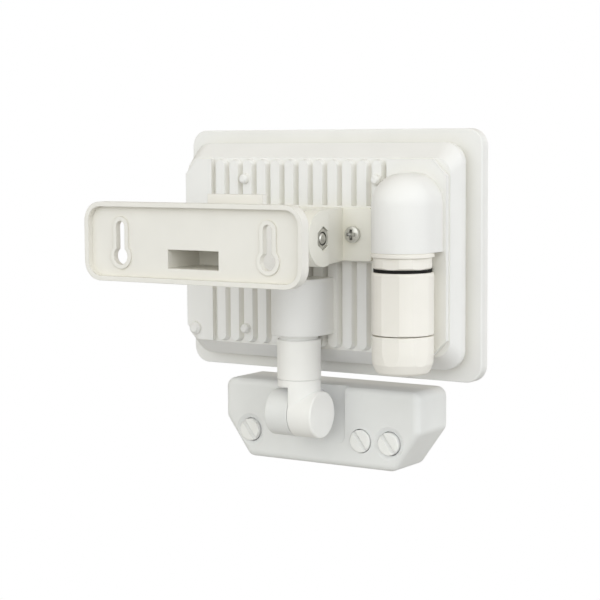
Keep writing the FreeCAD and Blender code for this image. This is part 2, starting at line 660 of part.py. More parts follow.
def primitive(kind, label, sizes, place, rotation=None):
    """A Part primitive whose sizes and place follow the sheet. The place is (side, depth, height)."""
    thing = doc.addObject(kind, label)
    for path, size in sizes.items():
        bind(thing, path, size)
    if rotation is not None:
        thing.Placement = Placement(Vector(), rotation)
    side, depth, height = place
    bind(thing, "Placement.Base.x", side)
    bind(thing, "Placement.Base.y", -as_size(depth))
    bind(thing, "Placement.Base.z", height)
    return thing


def combine(kind, label, base, tool):
    thing = doc.addObject(kind, label)
    thing.Base = base
    thing.Tool = tool
    return thing


def compound(label, things):
    thing = doc.addObject("Part::Compound", label)
    thing.Label = label
    thing.Links = things
    nodes[label] = thing
    return thing


TO_FRONT = Rotation(Vector(1, 0, 0), 90)


# Wall bracket: plate, arm, stop wall and hinge tongue in one moulding

def keyhole(body, side, wall, deep, cut):
    """Round end and slot of one keyhole, widened by a wall."""
    radius = d.keyhole_round + wall
    half = d.keyhole_slot + wall
    round_end = rod(body, "Y", (side, ZERO), radius, deep, cut)
    sketch = sketch_on(body, "XZ_Plane", (0, 0, deep[0]))
    stadium(sketch, side, ZERO, d.keyhole_high, half)
    slot = grow(body, sketch, deep[1] - deep[0], cut)
    return [round_end, slot]


def make_wall_bracket():
    body = new_body("wall_bracket")
    plate_front = d.tray_deep + d.plate_wall
    block(body, about(ZERO, d.plate_wide), about(d.plate_rise, d.plate_tall), (ZERO, plate_front),
          d.plate_corner)
    inner_wide = d.plate_wide - d.plate_wall * 2
    inner_tall = d.plate_tall - d.plate_wall * 2
    block(body, about(ZERO, inner_wide), about(d.plate_rise, inner_tall), (ZERO, d.tray_deep),
          d.plate_corner - d.plate_wall, cut=True)
    side = d.keyhole_span / 2
    for mirrored in (side, -side):
        keyhole(body, mirrored, d.collar_wall, (ZERO, d.tray_deep), cut=False)
    # The arm is as tall as the tongue, so its faces run tangent into the round end
    arm_low = d.pivot_rise - d.pivot_round
    arm_high = d.pivot_rise + d.pivot_round
    block(body, about(ZERO, d.arm_wide), (arm_low, arm_high), (d.tray_deep, d.pivot_depth))
    front = -number(plate_front)

    def arm_root(edge):
        half = number(d.arm_wide) / 2
        return flat_at(edge, "y", front) and edge.BoundBox.XMax < half + CLOSE \
            and edge.BoundBox.XMin > -half - CLOSE
    fillet(body, d.arm_fillet, arm_root)
    rod(body, "X", (d.pivot_depth, d.pivot_rise), d.pivot_round, about(ZERO, d.arm_wide))
    block(body, about(ZERO, d.arm_wide), (arm_high - d.plate_wall, d.stop_top),
          (d.stop_depth, d.stop_depth + d.stop_wall))
    for mirrored in (side, -side):
        keyhole(body, mirrored, ZERO, (ZERO, plate_front), cut=True)
    block(body, about(ZERO, d.slot_wide), (d.slot_low, d.slot_high), (ZERO, d.slot_deep), cut=True)
    rod(body, "X", (d.pivot_depth, d.pivot_rise), d.bolt_radius + d.bolt_play,
        about(ZERO, d.arm_wide), cut=True)


# Hinge: yoke on the lamp's back, bolt, nut and the yoke's screws

def ear_faces():
    """Inner face, web face and boss face of an ear, as distances from the middle."""
    inner = d.arm_wide / 2 + d.ear_gap
    web = inner + d.ear_web
    return inner, web, web + d.ear_boss


def make_tilt_yoke():
    body = new_body("tilt_yoke")
    inner, web, boss = ear_faces()
    seat = d.fin_face
    rear = d.fin_face - d.yoke_thick
    block(body, about(ZERO, d.yoke_wide), (d.yoke_low, d.yoke_high), (rear, seat), d.yoke_corner)
    # Each ear: a tapering web with a round end, and a boss cut straight past the axis
    low = d.pivot_rise - d.pivot_round
    high = d.pivot_rise + d.pivot_round
    pivot = (d.pivot_depth, d.pivot_rise)
    ear = []
    sketch = sketch_on(body, "YZ_Plane", (0, 0, inner))
    polygon(sketch, [(-pivot[0], low), (-pivot[0], high), (-seat, d.yoke_high), (-seat, d.yoke_low)])
    ear.append(grow(body, sketch, d.ear_web))
    ear.append(rod(body, "X", pivot, d.pivot_round, (inner, web)))
    ear.append(rod(body, "X", pivot, d.pivot_round, (web - PAST / 2, boss)))
    sketch = sketch_on(body, "YZ_Plane", (0, 0, web))
    beyond = pivot[0] + d.pivot_round + PAST
    edge = pivot[0] + d.boss_edge
    under = low - PAST
    over = high + PAST
    polygon(sketch, [(-beyond, under), (-beyond, over), (-edge, over), (-edge, under)])
    ear.append(grow(body, sketch, d.ear_boss + PAST, cut=True))
    ear.append(rod(body, "X", pivot, d.bolt_radius + d.bolt_play, (inner - PAST, boss + PAST), cut=True))
    sketch = sketch_on(body, "YZ_Plane", (0, 0, boss - d.nut_thick - d.nut_sunk))
    polygon(sketch, hexagon((-pivot[0], pivot[1]), d.nut_flats + d.nut_play * 2))
    ear.append(grow(body, sketch, d.nut_thick + d.nut_sunk + PAST, cut=True))
    mirror(body, ear)
    middle = (d.yoke_low + d.yoke_high) / 2
    for side in (d.yoke_screws / 2, -d.yoke_screws / 2):
        rod(body, "Y", (side, middle), d.screw_radius + d.small_play, (rear, seat), cut=True)


def make_pivot_bolt():
    """Hexagon bolt: head on the far side, its end inside the nut."""
    body = new_body("pivot_bolt")
    boss = ear_faces()[2]
    seat = boss - d.nut_thick - d.nut_sunk
    centre = (-d.pivot_depth, d.pivot_rise)
    sketch = sketch_on(body, "YZ_Plane", (0, 0, seat))
    polygon(sketch, hexagon(centre, d.nut_flats))
    grow(body, sketch, d.bolt_head)
    turn(body, "X", (d.pivot_depth, d.pivot_rise), [
        (seat + PAST, ZERO),
        (seat + PAST, d.bolt_radius),
        (-boss + d.bolt_short + d.bolt_tip, d.bolt_radius),
        (-boss + d.bolt_short, d.bolt_radius - d.bolt_tip),
        (-boss + d.bolt_short, ZERO),
    ])


def make_pivot_nut():
    body = new_body("pivot_nut")
    boss = ear_faces()[2]
    outer = -boss + d.nut_sunk
    sketch = sketch_on(body, "YZ_Plane", (0, 0, outer))
    polygon(sketch, hexagon((-d.pivot_depth, d.pivot_rise), d.nut_flats))
    grow(body, sketch, d.nut_thick)
    # The turned bevel that rounds a nut's corners on its outer face
    corner = d.nut_flats * (HEXAGON / 2)
    turn(body, "X", (d.pivot_depth, d.pivot_rise), [
        (outer - PAST, d.nut_flats / 2 - d.nut_bevel),
        (outer - PAST, corner + PAST),
        (outer + d.nut_bevel * 2, corner + PAST),
    ], cut=True)
    rod(body, "X", (d.pivot_depth, d.pivot_rise), d.bolt_radius + d.screw_play,
        (outer - PAST, outer + d.nut_thick + PAST), cut=True)


def cross_screw(label, side, height, under_head, sizes, to_rear=True):
    """One pan-head screw along Y with a cross recess; its head sits on the given depth."""
    radius, head, head_high, length = sizes
    way = -1 if to_rear else 1
    shank_start = under_head if to_rear else under_head - length
    head_start = under_head - head_high if to_rear else under_head
    shank = primitive("Part::Cylinder", f"{label}_shank", {"Radius": radius, "Height": length},
                      (side, shank_start, height), TO_FRONT)
    dome = primitive("Part::Cylinder", f"{label}_head", {"Radius": head, "Height": head_high},
                     (side, head_start, height), TO_FRONT)
    outer_face = under_head + head_high * way
    # The recess is half as deep as the head is high, and half as long as the head is wide
    deep = head_high / 2
    arm = head / 2
    blade = head / 7
    bars = []
    for name, wide, tall in (("a", arm, blade), ("b", blade, arm)):
        start = outer_face + deep if to_rear else outer_face + deep / 4
        bar = primitive("Part::Box", f"{label}_{name}",
                        {"Length": wide * 2, "Height": tall * 2, "Width": deep * 1.25},
                        (side - wide, start, height - tall))
        bars.append(bar)
    cross = combine("Part::Fuse", f"{label}_cross", bars[0], bars[1])
    solid = combine("Part::Fuse", f"{label}_solid", shank, dome)
    return combine("Part::Cut", label, solid, cross)


def make_yoke_screws():
    rear = d.fin_face - d.yoke_thick
    middle = (d.yoke_low + d.yoke_high) / 2
    sizes = (d.screw_radius, d.screw_head, d.screw_head_high, d.screw_long)
    places = (d.yoke_screws / 2, -d.yoke_screws / 2)
    screws = [cross_screw(f"yoke_screw_{index}", side, middle, rear, sizes)
              for index, side in enumerate(places, start=1)]
    compound("yoke_screws", screws)


# Lamp housing: one casting with fins, posts, cable turret and sensor socket

def bevel(body):
    """The bevelled back: from the side walls to the floor under the fins."""
    outer = sketch_on(body, "XZ_Plane", (0, 0, d.belly_face))
    rounded_rectangle(outer, *about(ZERO, d.belly_wide), *about(d.head_rise, d.belly_tall), d.belly_corner)
    inner = sketch_on(body, "XZ_Plane", (0, 0, d.base_face))
    rounded_rectangle(inner, *about(ZERO, d.base_wide), *about(d.head_rise, d.base_tall), d.base_corner)
    feature = body.newObject("PartDesign::AdditiveLoft", "Bevel")
    feature.Profile = outer
    feature.Sections = [inner]
    feature.Ruled = True
    body.Tip = feature


def fins_and_pads(body):
    low, high = about(d.head_rise, d.field_tall)
    deep = d.base_face - d.fin_face
    # One fin, padded from its wide foot to its flat top, then repeated
    sine, cosine = sine_cosine(d.fin_draft)
    foot = d.fin_half + deep * sine / cosine
    sketch = sketch_on(body, "XZ_Plane", (0, 0, d.base_face))
    stadium(sketch, d.fin_first, low + foot, high - foot, foot)
    fin = body.newObject("PartDesign::Pad", "Fin")
    fin.Profile = sketch
    fin.Reversed = True
    bind(fin, "Length", deep)
    bind(fin, "TaperAngle", -d.fin_draft)
    body.Tip = fin
    row = body.newObject("PartDesign::LinearPattern", "Fins")
    row.Originals = [fin]
    row.Direction = (origin_feature(body, "X_Axis"), [""])
    row.Reversed = True
    bind(row, "Length", d.fin_pitch * (d.fin_count - 1))
    bind(row, "Occurrences", d.fin_count)
    body.Tip = row
    # Pads at both ends of the row, and the seat of the yoke in the middle
    reach = d.field_wide / 2
    first = d.fin_first + d.fin_half + d.pad_gap
    last = d.fin_first - d.fin_pitch * (d.fin_count - 1) - d.fin_half - d.pad_gap
    for left, right in ((first, reach), (-reach, last)):
        pad_block(body, left, right, low, high)
    block(body, about(ZERO, d.seat_wide), (d.yoke_low - d.seat_margin, d.yoke_high + d.seat_margin),
          (d.fin_face, d.base_face + PAST))


def pad_block(body, left, right, low, high):
    """A flat pad whose two corners away from the fins are cut like the housing's corners."""
    cut = d.field_corner
    if number(left) > 0:
        corners = [(left, low), (right - cut, low), (right, low + cut),
                   (right, high - cut), (right - cut, high), (left, high)]
    else:
        corners = [(left + cut, low), (right, low), (right, high),
                   (left + cut, high), (left, high - cut), (left, low + cut)]
    sketch = sketch_on(body, "XZ_Plane", (0, 0, d.fin_face))
    polygon(sketch, corners)
    grow(body, sketch, d.base_face + PAST - d.fin_face)


def posts(body):
    tip = d.fin_face - d.post_proud
    for side in (d.post_span / 2, -d.post_span / 2):
        for height in (d.post_high, d.post_low):
            turn(body, "Y", (side, height), [
                (tip, ZERO),
                (tip, d.post_radius - d.post_bevel),
                (tip + d.post_bevel, d.post_radius),
                (d.base_face + PAST, d.post_radius + d.post_flare),
                (d.base_face + PAST, ZERO),
            ])
    tip = d.fin_face - d.lug_proud
    turn(body, "Y", (d.lug_side, d.lug_low), [
        (tip, ZERO),
        (tip, d.lug_radius - d.lug_bevel),
        (tip + d.lug_bevel, d.lug_radius),
        (d.base_face + PAST, d.lug_radius + d.post_flare),
        (d.base_face + PAST, ZERO),
    ])


def turret(body):
    """Domed cable turret: a round front that runs straight back into the housing."""
    axis = (d.turret_side, d.turret_depth)
    low, high = d.turret_low, d.turret_high
    rod(body, "Z", axis, d.turret_radius, (low, high))
    back = (d.turret_depth, d.base_face + PAST)
    block(body, about(d.turret_side, d.turret_radius * 2), (low, high), back)
    rod(body, "Y", (d.turret_side, high), d.turret_radius, back)
    dome = body.newObject("PartDesign::AdditiveSphere", "Dome")
    bind(dome, "Radius", d.turret_radius)
    bind(dome, "Placement.Base.x", axis[0])
    bind(dome, "Placement.Base.y", -axis[1])
    bind(dome, "Placement.Base.z", high)
    body.Tip = dome
    rod(body, "Z", axis, d.turret_bore, (low, d.turret_bore_top), cut=True)
    rod(body, "Y", (d.turret_side, d.turret_bore_top - d.wire_hole - PAST), d.wire_hole,
        (d.turret_depth, d.cavity_face + PAST), cut=True)


def socket(body):
    """Round-fronted socket that holds the sensor's neck."""
    axis = (ZERO, d.neck_depth)
    low, high = d.socket_low, d.socket_high
    rod(body, "Z", axis, d.socket_radius, (low, high))
    block(body, about(ZERO, d.socket_radius * 2), (low, high), (d.neck_depth, d.base_face + PAST))
    bore = d.spigot_radius + d.spigot_play
    room = d.spigot_radius + d.snap_out + d.snap_room
    step = d.spigot_top - d.snap_high - d.snap_room
    top = d.spigot_top + d.snap_space
    turn(body, "Z", axis, [
        (ZERO, low - PAST),
        (bore, low - PAST),
        (bore, step),
        (room, step),
        (room, top),
        (ZERO, top),
    ], cut=True)
    rod(body, "Y", (ZERO, d.spigot_top - d.snap_high), d.wire_hole, (d.neck_depth, d.cavity_face + PAST),
        cut=True)


def make_rear_housing():
    body = new_body("rear_housing")
    rise = d.head_rise
    # Rim, shadow groove and side walls
    block(body, about(ZERO, d.rim_wide), about(rise, d.rim_tall), (d.rim_face, d.seam_face), d.rim_corner)
    rim_rear = -number(d.rim_face)
    fillet(body, d.rim_edge, lambda edge: flat_at(edge, "y", rim_rear))
    waist_wide = d.belly_wide - d.groove_deep * 2
    waist_tall = d.belly_tall - d.groove_deep * 2
    block(body, about(ZERO, waist_wide), about(rise, waist_tall), (d.groove_face, d.rim_face + PAST),
          d.belly_corner - d.groove_deep)
    block(body, about(ZERO, d.belly_wide), about(rise, d.belly_tall), (d.belly_face, d.groove_face),
          d.belly_corner)
    bevel(body)
    fins_and_pads(body)
    posts(body)
    turret(body)
    socket(body)
    # Shallow scoops, clear of the gland and of the neck tube that hang in front of the fins
    end = gland_levels()[5]
    rod(body, "Z", gland_axis(), d.gland_rim + d.scoop_play, (end - d.cap_floor, d.turret_low), cut=True)
    rod(body, "Z", neck_axis(), d.neck_radius + d.scoop_play, (d.neck_seam, d.socket_low), cut=True)
    # Inside: the LED chamber, then the step that takes gasket and glass
    block(body, about(ZERO, d.cavity_wide), about(rise, d.cavity_tall), (d.cavity_face, d.seam_face + PAST),
          d.cavity_corner, cut=True)
    glass_block(body, (glass_faces()[0] - d.gasket_thick, d.seam_face + PAST), d.glass_play, cut=True)
    middle = (d.yoke_low + d.yoke_high) / 2
    for side in (d.yoke_screws / 2, -d.yoke_screws / 2):
        rod(body, "Y", (side, middle), d.screw_radius + d.screw_play,
            (d.fin_face - PAST, d.fin_face - d.yoke_thick + d.screw_long + d.hole_end), cut=True)
    for side, height in frame_screw_places():
        end = d.front_face - d.small_head_high - d.frame_screw_long - d.hole_end
        rod(body, "Y", (side, height), d.small_screw + d.screw_play, (end, d.seam_face + PAST), cut=True)
    for side, height in led_screw_places():
        end = d.cavity_face + d.board_thick - d.led_screw_long - d.hole_end
        rod(body, "Y", (side, height), d.small_screw + d.screw_play, (end, d.cavity_face + PAST), cut=True)


def frame_screw_places():
    side = d.rim_wide / 2 - d.frame_screw_inset
    up = d.rim_tall / 2 - d.frame_screw_inset
    return [(x, z) for x in (side, -side) for z in (d.head_rise + up, d.head_rise - up)]


def led_screw_places():
    side = d.led_wide / 2 - d.led_screw_inset
    up = d.led_tall / 2 - d.led_screw_inset
    return [(x, z) for x in (side, -side) for z in (d.head_rise + up, d.head_rise - up)]


# Front: frame, gasket, glass, reflector, LED board

def glass_faces():
    """Depths of the glass's rear and front faces."""
    front = d.front_face - d.lip_thick
    return front - d.glass_thick, front


def glass_block(body, deep, spare, cut=False):
    """A plate with the outline of the glass, widened by a spare width all round."""
    wide = d.glass_wide + spare * 2
    tall = d.glass_tall + spare * 2
    return block(body, about(ZERO, wide), about(d.head_rise, tall), deep, d.glass_corner + spare, cut)


def make_front_frame():
    body = new_body("front_frame")
    glass_front = glass_faces()[1]
    block(body, about(ZERO, d.rim_wide), about(d.head_rise, d.rim_tall), (d.seam_face, d.front_face),
          d.rim_corner)
    front = -number(d.front_face)
    fillet(body, d.rim_edge, lambda edge: flat_at(edge, "y", front))
    glass_block(body, (d.seam_face - PAST, glass_front), d.glass_play, cut=True)
    glass_block(body, (d.seam_face - PAST, d.front_face + PAST), -d.lip_wide, cut=True)
    half = number(d.glass_wide) / 2

    def window(edge):
        return flat_at(edge, "y", front) and abs(edge.BoundBox.XMax) < half and abs(edge.BoundBox.XMin) < half
    chamfer(body, d.window_edge, window)
    bearing = d.front_face - d.small_head_high
    for side, height in frame_screw_places():
        rod(body, "Y", (side, height), d.small_screw + d.small_play, (d.seam_face - PAST, bearing), cut=True)
        rod(body, "Y", (side, height), d.small_head + d.small_play, (bearing, d.front_face + PAST), cut=True)


def make_front_glass():
    body = new_body("front_glass")
    glass_block(body, glass_faces(), ZERO)


def make_glass_gasket():
    body = new_body("glass_gasket")
    rear = glass_faces()[0]
    glass_block(body, (rear - d.gasket_thick, rear), ZERO)
    glass_block(body, (rear - d.gasket_thick, rear), -d.gasket_wide, cut=True)


def make_reflector_tray():
    """Sloping frame between the LED board and the glass."""
    body = new_body("reflector_tray")
    rear = d.cavity_face + d.board_thick
    front = glass_faces()[0]
    for cut in (False, True):
        wall = d.reflector_wall if cut else ZERO
        small_wide = d.reflector_wide - d.reflector_slope * 2 - wall * 2
        small_tall = d.reflector_tall - d.reflector_slope * 2 - wall * 2
        profile = sketch_on(body, "XZ_Plane", (0, 0, rear))
        rounded_rectangle(profile, *about(ZERO, small_wide), *about(d.head_rise, small_tall), d.tray_corner)
        end = sketch_on(body, "XZ_Plane", (0, 0, front))
        rounded_rectangle(end, *about(ZERO, d.reflector_wide - wall * 2),
                          *about(d.head_rise, d.reflector_tall - wall * 2), d.tray_corner)
        kind = "Subtractive" if cut else "Additive"
        feature = body.newObject(f"PartDesign::{kind}Loft", "Slope")
        feature.Profile = profile
        feature.Sections = [end]
        feature.Ruled = True
        body.Tip = feature


def make_led_board():
    body = new_body("led_board")
    deep = (d.cavity_face, d.cavity_face + d.board_thick)
    block(body, about(ZERO, d.led_wide), about(d.head_rise, d.led_tall), deep, d.board_corner)
    for side, height in led_screw_places():
        rod(body, "Y", (side, height), d.small_screw + d.small_play, deep, cut=True)


def make_led_chips():
    chips = []
    board = d.cavity_face + d.board_thick
    columns = int(number(d.chip_columns))
    rows = int(number(d.chip_rows))
    sizes = {"Length": d.chip_size, "Width": d.chip_high, "Height": d.chip_size}
    for column in range(columns):
        for row in range(rows):
            side = (d.chip_columns - 1) / 2 * d.chip_pitch - d.chip_pitch * column
            height = d.head_rise + (d.chip_rows - 1) / 2 * d.chip_pitch - d.chip_pitch * row
            place = (side - d.chip_size / 2, board + d.chip_high, height - d.chip_size / 2)
            chips.append(primitive("Part::Box", f"chip_{column}_{row}", sizes, place))
    compound("led_chips", chips)


def make_small_screws():
    """Screws of the front frame, seen from the front, and of the LED board."""
    bearing = d.front_face - d.small_head_high
    sizes = (d.small_screw, d.small_head, d.small_head_high, d.frame_screw_long)
    compound("frame_screws", [
        cross_screw(f"frame_screw_{index}", side, height, bearing, sizes, to_rear=False)
        for index, (side, height) in enumerate(frame_screw_places(), start=1)])
    bearing = d.cavity_face + d.board_thick
    sizes = (d.small_screw, d.small_head, d.small_head_high, d.led_screw_long)
    compound("led_screws", [
        cross_screw(f"led_screw_{index}", side, height, bearing, sizes, to_rear=False)
        for index, (side, height) in enumerate(led_screw_places(), start=1)])


# Cable gland under the turret

def gland_levels():
    """Heights of the joints down the gland: turret, collar, gasket, body, cap nut, end."""
    collar = d.turret_low - d.collar_high
    gasket = collar - d.gasket_high
    body = gasket - d.body_high
    cap = body - d.gland_gap
    return d.turret_low, collar, gasket, body, cap, cap - d.cap_high


def gland_hexagon(body, flats, span):
    """A hexagonal bar about the gland's axis, turned so that a corner faces the wall's left."""
    sketch = sketch_on(body, "XY_Plane", (0, 0, span[0]))
    reach = flats * (HEXAGON / 2)
    corners = []
    for step in range(6):
        sine, cosine = sine_cosine(d.gland_turn + 60 * step)
        corners.append((d.turret_side - reach * sine, reach * cosine - d.turret_depth))
    polygon(sketch, corners)
    return grow(body, sketch, span[1] - span[0])


def gland_axis():
    return (d.turret_side, d.turret_depth)


def make_gland_collar():
    body = new_body("gland_collar")
    top, low = gland_levels()[:2]
    rim = top - d.gland_rim_high
    beyond = d.gland_rim + PAST * 3
    gland_hexagon(body, d.gland_waist_flats, (low, rim + d.ease))
    turn(body, "Z", gland_axis(), [
        (d.gland_waist - d.ease * 2, low),
        (d.gland_waist, low + d.ease * 2),
        (d.gland_waist, rim + PAST),
        (beyond, rim + PAST),
        (beyond, low),
    ], cut=True)
    thread_top = d.turret_bore_top - d.terminal_high - PAST
    turn(body, "Z", gland_axis(), [
        (ZERO, rim),
        (d.gland_waist, rim),
        (d.gland_rim, rim + d.ease),
        (d.gland_rim, top - d.ease),
        (d.gland_rim - d.ease, top),
        (d.turret_bore - d.thread_play, top),
        (d.turret_bore - d.thread_play, thread_top),
        (ZERO, thread_top),
    ])
    # The small lug on the collar's side
    block(body, about(d.turret_side + d.gland_waist, d.lug_wide), (low, low + d.lug_tall),
          about(d.turret_depth - d.lug_offset, d.lug_wide))
    bore = d.turret_bore - d.gland_wall
    rod(body, "Z", gland_axis(), bore, (low - PAST, top - PAST), cut=True)
    rod(body, "Z", gland_axis(), bore - d.gland_wall / 2, (top - PAST * 2, thread_top + PAST), cut=True)


def make_gland_gasket():
    body = new_body("gland_gasket")
    span = (gland_levels()[2], gland_levels()[1])
    rod(body, "Z", gland_axis(), d.gasket_radius, span)
    rod(body, "Z", gland_axis(), d.turret_bore - d.gland_wall, span, cut=True)


def make_gland_body():
    body = new_body("gland_body")
    collar_top, collar_low, top, low, _, end = gland_levels()
    beyond = d.gland_radius + PAST * 3
    gland_hexagon(body, d.gland_flats, (low, top))
    turn(body, "Z", gland_axis(), [
        (d.gland_radius - d.ease * 3, top),
        (d.gland_radius - d.ease, top - d.ease),
        (d.gland_radius, top - d.ease * 3),
        (d.gland_radius, low + d.ease),
        (d.gland_radius - d.ease, low),
        (beyond, low),
        (beyond, top),
    ], cut=True)
    upper = d.turret_bore - d.gland_wall - d.thread_play
    rod(body, "Z", gland_axis(), upper, (top - PAST, collar_top - d.gland_stop))
    lower = d.turret_bore - d.thread_play
    spigot_end = end + d.cap_floor + d.seal_high / 2
    rod(body, "Z", gland_axis(), lower, (spigot_end, low + PAST))
    rod(body, "Z", gland_axis(), upper - d.gland_wall, (spigot_end - PAST, collar_top), cut=True)


def make_gland_nut():
    """Cap nut with a rounded lower end and the cable entry."""
    body = new_body("gland_nut")
    top, end = gland_levels()[4:]
    beyond = d.gland_radius + PAST * 3
    round_part = d.gland_radius - d.cap_step
    gland_hexagon(body, d.gland_flats, (end, top))
    turn(body, "Z", gland_axis(), [
        (round_part - d.ease, top),
        (round_part, top - d.ease),
        (round_part, end + d.cap_taper * 2),
        (round_part - d.ease, end + d.cap_taper),
        (d.cap_end + d.ease * 3, end + d.cap_taper / 5),
        (d.cap_end, end),
        (beyond, end),
        (beyond, top),
    ], cut=True)
    rod(body, "Z", gland_axis(), d.turret_bore, (end + d.cap_floor, top + PAST), cut=True)
    rod(body, "Z", gland_axis(), d.cable_hole, (end - PAST, end + d.cap_floor + PAST), cut=True)


def make_gland_seal():
    body = new_body("gland_seal")
    low = gland_levels()[5] + d.cap_floor
    radius = d.turret_bore - d.gland_wall * 2 - d.thread_play * 2
    rod(body, "Z", gland_axis(), radius, (low, low + d.seal_high))
    rod(body, "Z", gland_axis(), d.cable_hole + d.small_play, (low - PAST, low + d.seal_high + PAST),
        cut=True)


def make_terminal_block():
    body = new_body("terminal_block")
    top = d.turret_bore_top
    block(body, about(d.turret_side, d.terminal_wide), (top - d.terminal_high, top),
          about(d.turret_depth, d.terminal_deep))
    for side in (-1, 1):
        rod(body, "Z", (d.turret_side + d.terminal_wide / 4 * side, d.turret_depth), d.terminal_hole,
            (top - d.terminal_high - PAST, top - d.terminal_high / 3), cut=True)


# Sensor's neck

def neck_axis():
    return (ZERO, d.neck_depth)


def make_neck_tube():
    body = new_body("neck_tube")
    lip = d.spigot_radius + d.snap_out
    groove = d.spigot_radius - d.ring_wire * 2
    turn(body, "Z", neck_axis(), [
        (ZERO, d.neck_seam),
        (d.neck_radius - d.ease, d.neck_seam),
        (d.neck_radius, d.neck_seam + d.ease),
        (d.neck_radius, d.neck_top - d.ease),
        (d.neck_radius - d.ease, d.neck_top),
        (d.spigot_radius, d.neck_top),
        (d.spigot_radius, d.ring_rise - d.ring_wire),
        (groove, d.ring_rise - d.ring_wire),
        (groove, d.ring_rise + d.ring_wire),
        (d.spigot_radius, d.ring_rise + d.ring_wire),
        (d.spigot_radius, d.spigot_top - d.snap_high),
        (lip, d.spigot_top - d.snap_high),
        (lip, d.spigot_top - d.snap_high / 2),
        (d.spigot_radius - d.ease, d.spigot_top),
        (ZERO, d.spigot_top),
    ])
    rod(body, "Z", neck_axis(), d.tube_bore, (d.neck_seam - PAST, d.spigot_top + PAST), cut=True)
    rod(body, "Z", neck_axis(), d.plug_radius + d.thread_play,
        (d.neck_seam - PAST, d.neck_seam + d.plug_high), cut=True)


def make_neck_seal():
    """O-ring of the neck, squeezed between its groove and the socket."""
    middle = d.spigot_radius - d.ring_wire
    sizes = {"Radius1": middle, "Radius2": d.ring_wire}
    thing = primitive("Part::Torus", "neck_seal", sizes, (ZERO, d.neck_depth, d.ring_rise))
    nodes["neck_seal"] = thing


def make_neck_knuckle():
    """Plug and collar under the tube, and the neck's half of the knuckle."""
    body = new_body("neck_knuckle")
    axis = (d.neck_depth, d.knuckle_rise)
    collar = d.neck_seam - d.collar_drop
    rod(body, "X", axis, d.knuckle_radius, (-d.knuckle_half, -d.knuckle_gap))
    end = -number(d.knuckle_half)
    fillet(body, d.knuckle_edge, lambda edge: flat_at(edge, "x", end))
    rod(body, "Z", neck_axis(), d.stem_radius, (d.knuckle_rise, d.neck_seam))
    block(body, (-d.knuckle_gap, d.stem_radius + PAST), (d.knuckle_rise - PAST, collar),
          about(d.neck_depth, d.stem_radius * 2 + PAST * 2), cut=True)
    rod(body, "Z", neck_axis(), d.plug_radius, (d.neck_seam, d.neck_seam + d.plug_high))
    rod(body, "X", axis, d.pin_radius + d.screw_play, (-d.pin_end - d.hole_end, ZERO), cut=True)


def make_knuckle_screw():
    body = new_body("knuckle_screw")
    axis = (d.neck_depth, d.knuckle_rise)
    bearing = d.knuckle_half - d.pin_head_high
    rod(body, "X", axis, d.pin_radius, (-d.pin_end, bearing + PAST / 2))
    rod(body, "X", axis, d.pin_head, (bearing + d.bolt_play, d.knuckle_half - d.bolt_play))
    slot = d.pin_head_high / 2
    block(body, (d.knuckle_half - slot, d.knuckle_half + PAST), about(d.knuckle_rise, d.pin_slot),
          about(d.neck_depth, d.pin_head * 2 + PAST), cut=True)


# Sensor: shells, knuckle half, knobs, lens and board

def sensor_outline(body, depth):
    sketch = sketch_on(body, "XZ_Plane", (0, 0, depth))
    half = d.sensor_wide / 2
    foot = d.sensor_cut_wide / 2
    polygon(sketch, [
        (-half, d.sensor_cut_high),
        (-foot, d.sensor_low),
        (foot, d.sensor_low),
        (half, d.sensor_cut_high),
        (half, d.sensor_top),
        (-half, d.sensor_top),
    ])
    return sketch


def hollow(body, depth):
    """Shells the body inwards and leaves it open at one depth."""
    doc.recompute()
    base = body.Tip
    value = -number(depth)
    faces = [f"Face{index}" for index, face in enumerate(base.Shape.Faces, start=1)
             if abs(face.BoundBox.YMin - value) < CLOSE and abs(face.BoundBox.YMax - value) < CLOSE]
    feature = body.newObject("PartDesign::Thickness", "Shell")
    feature.Base = (base, faces)
    feature.Reversed = True
    bind(feature, "Value", d.shell_wall)
    body.Tip = feature


def knob_sides():
    return (d.knob_first, d.knob_second, d.knob_third)


def board_posts():
    return [(d.board_post_high_side, d.board_post_high), (-d.board_post_high_side, d.board_post_high),
            (d.board_post_low_side, d.board_post_low), (-d.board_post_low_side, d.board_post_low)]


